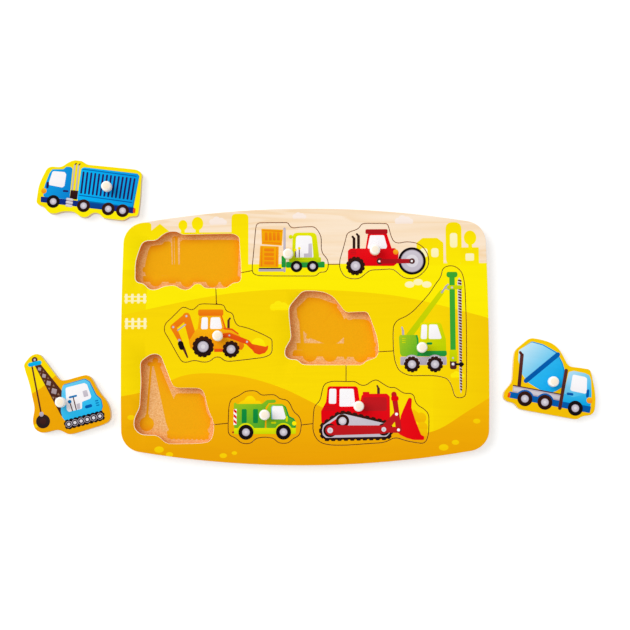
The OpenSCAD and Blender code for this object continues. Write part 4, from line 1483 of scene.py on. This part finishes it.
def painted_shade_at(place):
    """How much painted shade the backing gets: up to 1 at a recess's wall, most and widest at its upper left.
    """
    for box, recess in recesses.values():
        if is_near(box, place, 2):
            left, low, right, high = box
            lean = PAINTED_SHADE_LEFT * (right - place.x) / (right - left)
            lean += (1 - PAINTED_SHADE_LEFT) * (place.y - low) / (high - low)
            reach = PAINTED_SHADE_REACH[0] + PAINTED_SHADE_REACH[1] * lean
            depth = min(1.0, PAINTED_SHADE_DEPTH[0] + PAINTED_SHADE_DEPTH[1] * lean)
            return depth * max(0.0, 1 - gap_to(recess, place) / reach)
    return 0.0


# Extra points in each recess, so that the painted shade grades smoothly across the backing.
inner = []
for (left, low, right, high), recess in recesses.values():
    for i in range(int((right - left) / PAINTED_SHADE_STEP) + 1):
        for k in range(int((high - low) / PAINTED_SHADE_STEP) + 1):
            x = left + PAINTED_SHADE_STEP * i + STAGGER * math.sin(3 * k)
            y = low + PAINTED_SHADE_STEP * k + STAGGER * math.sin(5 * i)
            inner.append((x, y))
loops, heights = sawn_outlines("backing_board")
materials = [pressed_fibre, pressed_fibre]
backing = sawn_sheet("fibre_backing", loops, heights, shadows, materials, "board", home, inner=inner,
                     painted_shade_at=painted_shade_at)
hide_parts("backing_board")

# %% The nine pieces
materials = [printed_wood, ply_side]
for name, areas in PICTURES.items():
    matrix = from_board(name)
    loops, heights = sawn_outlines(name + "_plate")
    areas = ground + UNDER.get(name, []) + moved(areas, *DRAWN_AT.get(name, (0, 0)))
    printed = [(ink, carry(matrix, outline)) for ink, outline in areas]
    piece = sawn_sheet(name + "_piece", loops, heights, printed, materials, name, matrix)
    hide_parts(name + "_plate")

# %% [markdown]
# The knobs are turned from a close-grained wood and dipped in cream lacquer, with a warmer tone on the flat
# crown. A paler ring round the rim is a painted highlight, where light catches the rounded edge. Each is
# lathed here from one half profile: a tenon in the plate's bore, a neck, a swell and a soft dome. Its points
# carry their place about the knob's own axis, so fine turning marks can circle it.

# %% Material for the lacquered knob
RING_RATE = 9000
# Where the painted highlight on the knob's rim begins and where it is full, in metres from its axis.
PAINTED_HIGHLIGHT_FROM, PAINTED_HIGHLIGHT_TO = 0.0025, 0.0031
lacquer, tree, shader = new_material("cream_lacquer", Roughness=0.32, Specular_IOR_Level=0.28)
turning = carried(tree, "turning")["Vector"]
split = add(tree, "ShaderNodeSeparateXYZ", turning).outputs
flat = add(tree, "ShaderNodeCombineXYZ", split["X"], split["Y"]).outputs[0]
away = add(tree, "ShaderNodeVectorMath", flat, operation="LENGTH").outputs["Value"]
soft_tone = noise(tree, turning, (1, 1, 0.25), 420, detail=4, rough=0.6)
heart = ramp(tree, soft_tone, (0.3, colour(251, 236, 212)), (0.7, colour(254, 242, 222)))
# Painted highlight: the knob's rim is paler than its crown.
painted_highlight_share = add(tree, "ShaderNodeMapRange", away, From_Min=PAINTED_HIGHLIGHT_FROM, From_Max=PAINTED_HIGHLIGHT_TO).outputs[0]
give(tree, shader.inputs["Base Color"], mix(tree, painted_highlight_share, heart, colour(255, 253, 248)))
rings = maths(tree, "SINE", maths(tree, "MULTIPLY", away, RING_RATE))
rough_up(tree, shader, rings, 0.06, 0.0001)
print("a turning mark every", round(2 * math.pi / RING_RATE / MM, 2), "mm")

# %% Lathe the knobs
TENON = 4.45
TENON_GAP = 0.05
AROUND = 48
KNOB_CREASE = 40


def bend(centre, radius, start, end, steps=6):
    """Points of an arc of the half profile, in degrees."""
    angles = [math.radians(start + (end - start) * i / steps) for i in range(steps + 1)]
    return [(centre[0] + radius * math.cos(a), centre[1] + radius * math.sin(a)) for a in angles]


def knob_profile(radius, height, tenon):
    """Half profile in mm, from the foot of the tenon to the middle of the dome."""
    stem, bevel, neck, neck_height, rim, dome = 2.0, 0.4, 3.0, 2.0, 1.8, 16.0
    swell = radius - neck
    dome_low = height - dome
    rim_height = dome_low + math.sqrt((dome - rim) ** 2 - (radius - rim) ** 2)
    meet = math.degrees(math.atan2(rim_height - dome_low, radius - rim))
    profile = [(stem - bevel, -tenon), (stem, bevel - tenon), (stem, -0.01), (neck, 0)]
    profile += bend((neck, neck_height + swell), swell, -90, 0)
    profile += bend((radius - rim, rim_height), rim, 0, meet)
    profile += bend((0, dome_low), dome, meet, 88, 8)[1:]
    return profile


def lathe(name, node, body):
    low, high = (Vector(corner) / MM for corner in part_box(node))
    middle = (low + high) / 2
    radius = (high.x - low.x) / 2
    plate_top = low.z + TENON
    mesh = bmesh.new()
    turning = mesh.verts.layers.float_vector.new("turning")
    rows = []
    for r, z in knob_profile(radius, high.z - plate_top, TENON - TENON_GAP):
        row = []
        for i in range(AROUND):
            angle = 2 * math.pi * i / AROUND
            x, y = r * math.cos(angle), r * math.sin(angle)
            vert = mesh.verts.new(((middle.x + x) * MM, (middle.y + y) * MM, (plate_top + z) * MM))
            vert[turning] = (x * MM, y * MM, z * MM)
            row.append(vert)
        rows.append(row)
    for one, two in zip(rows, rows[1:]):
        for (a, b), (c, d) in zip(sides(one), sides(two)):
            mesh.faces.new((a, b, d, c))
    mesh.faces.new(rows[0][::-1])
    mesh.faces.new(rows[-1])
    knob = finish_mesh(name, mesh, [lacquer], KNOB_CREASE)
    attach(knob, body)
    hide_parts(node)


for name in PICTURES:
    lathe(name + "_turned_knob", name + "_knob", name)
print("knobs:", len(PICTURES))
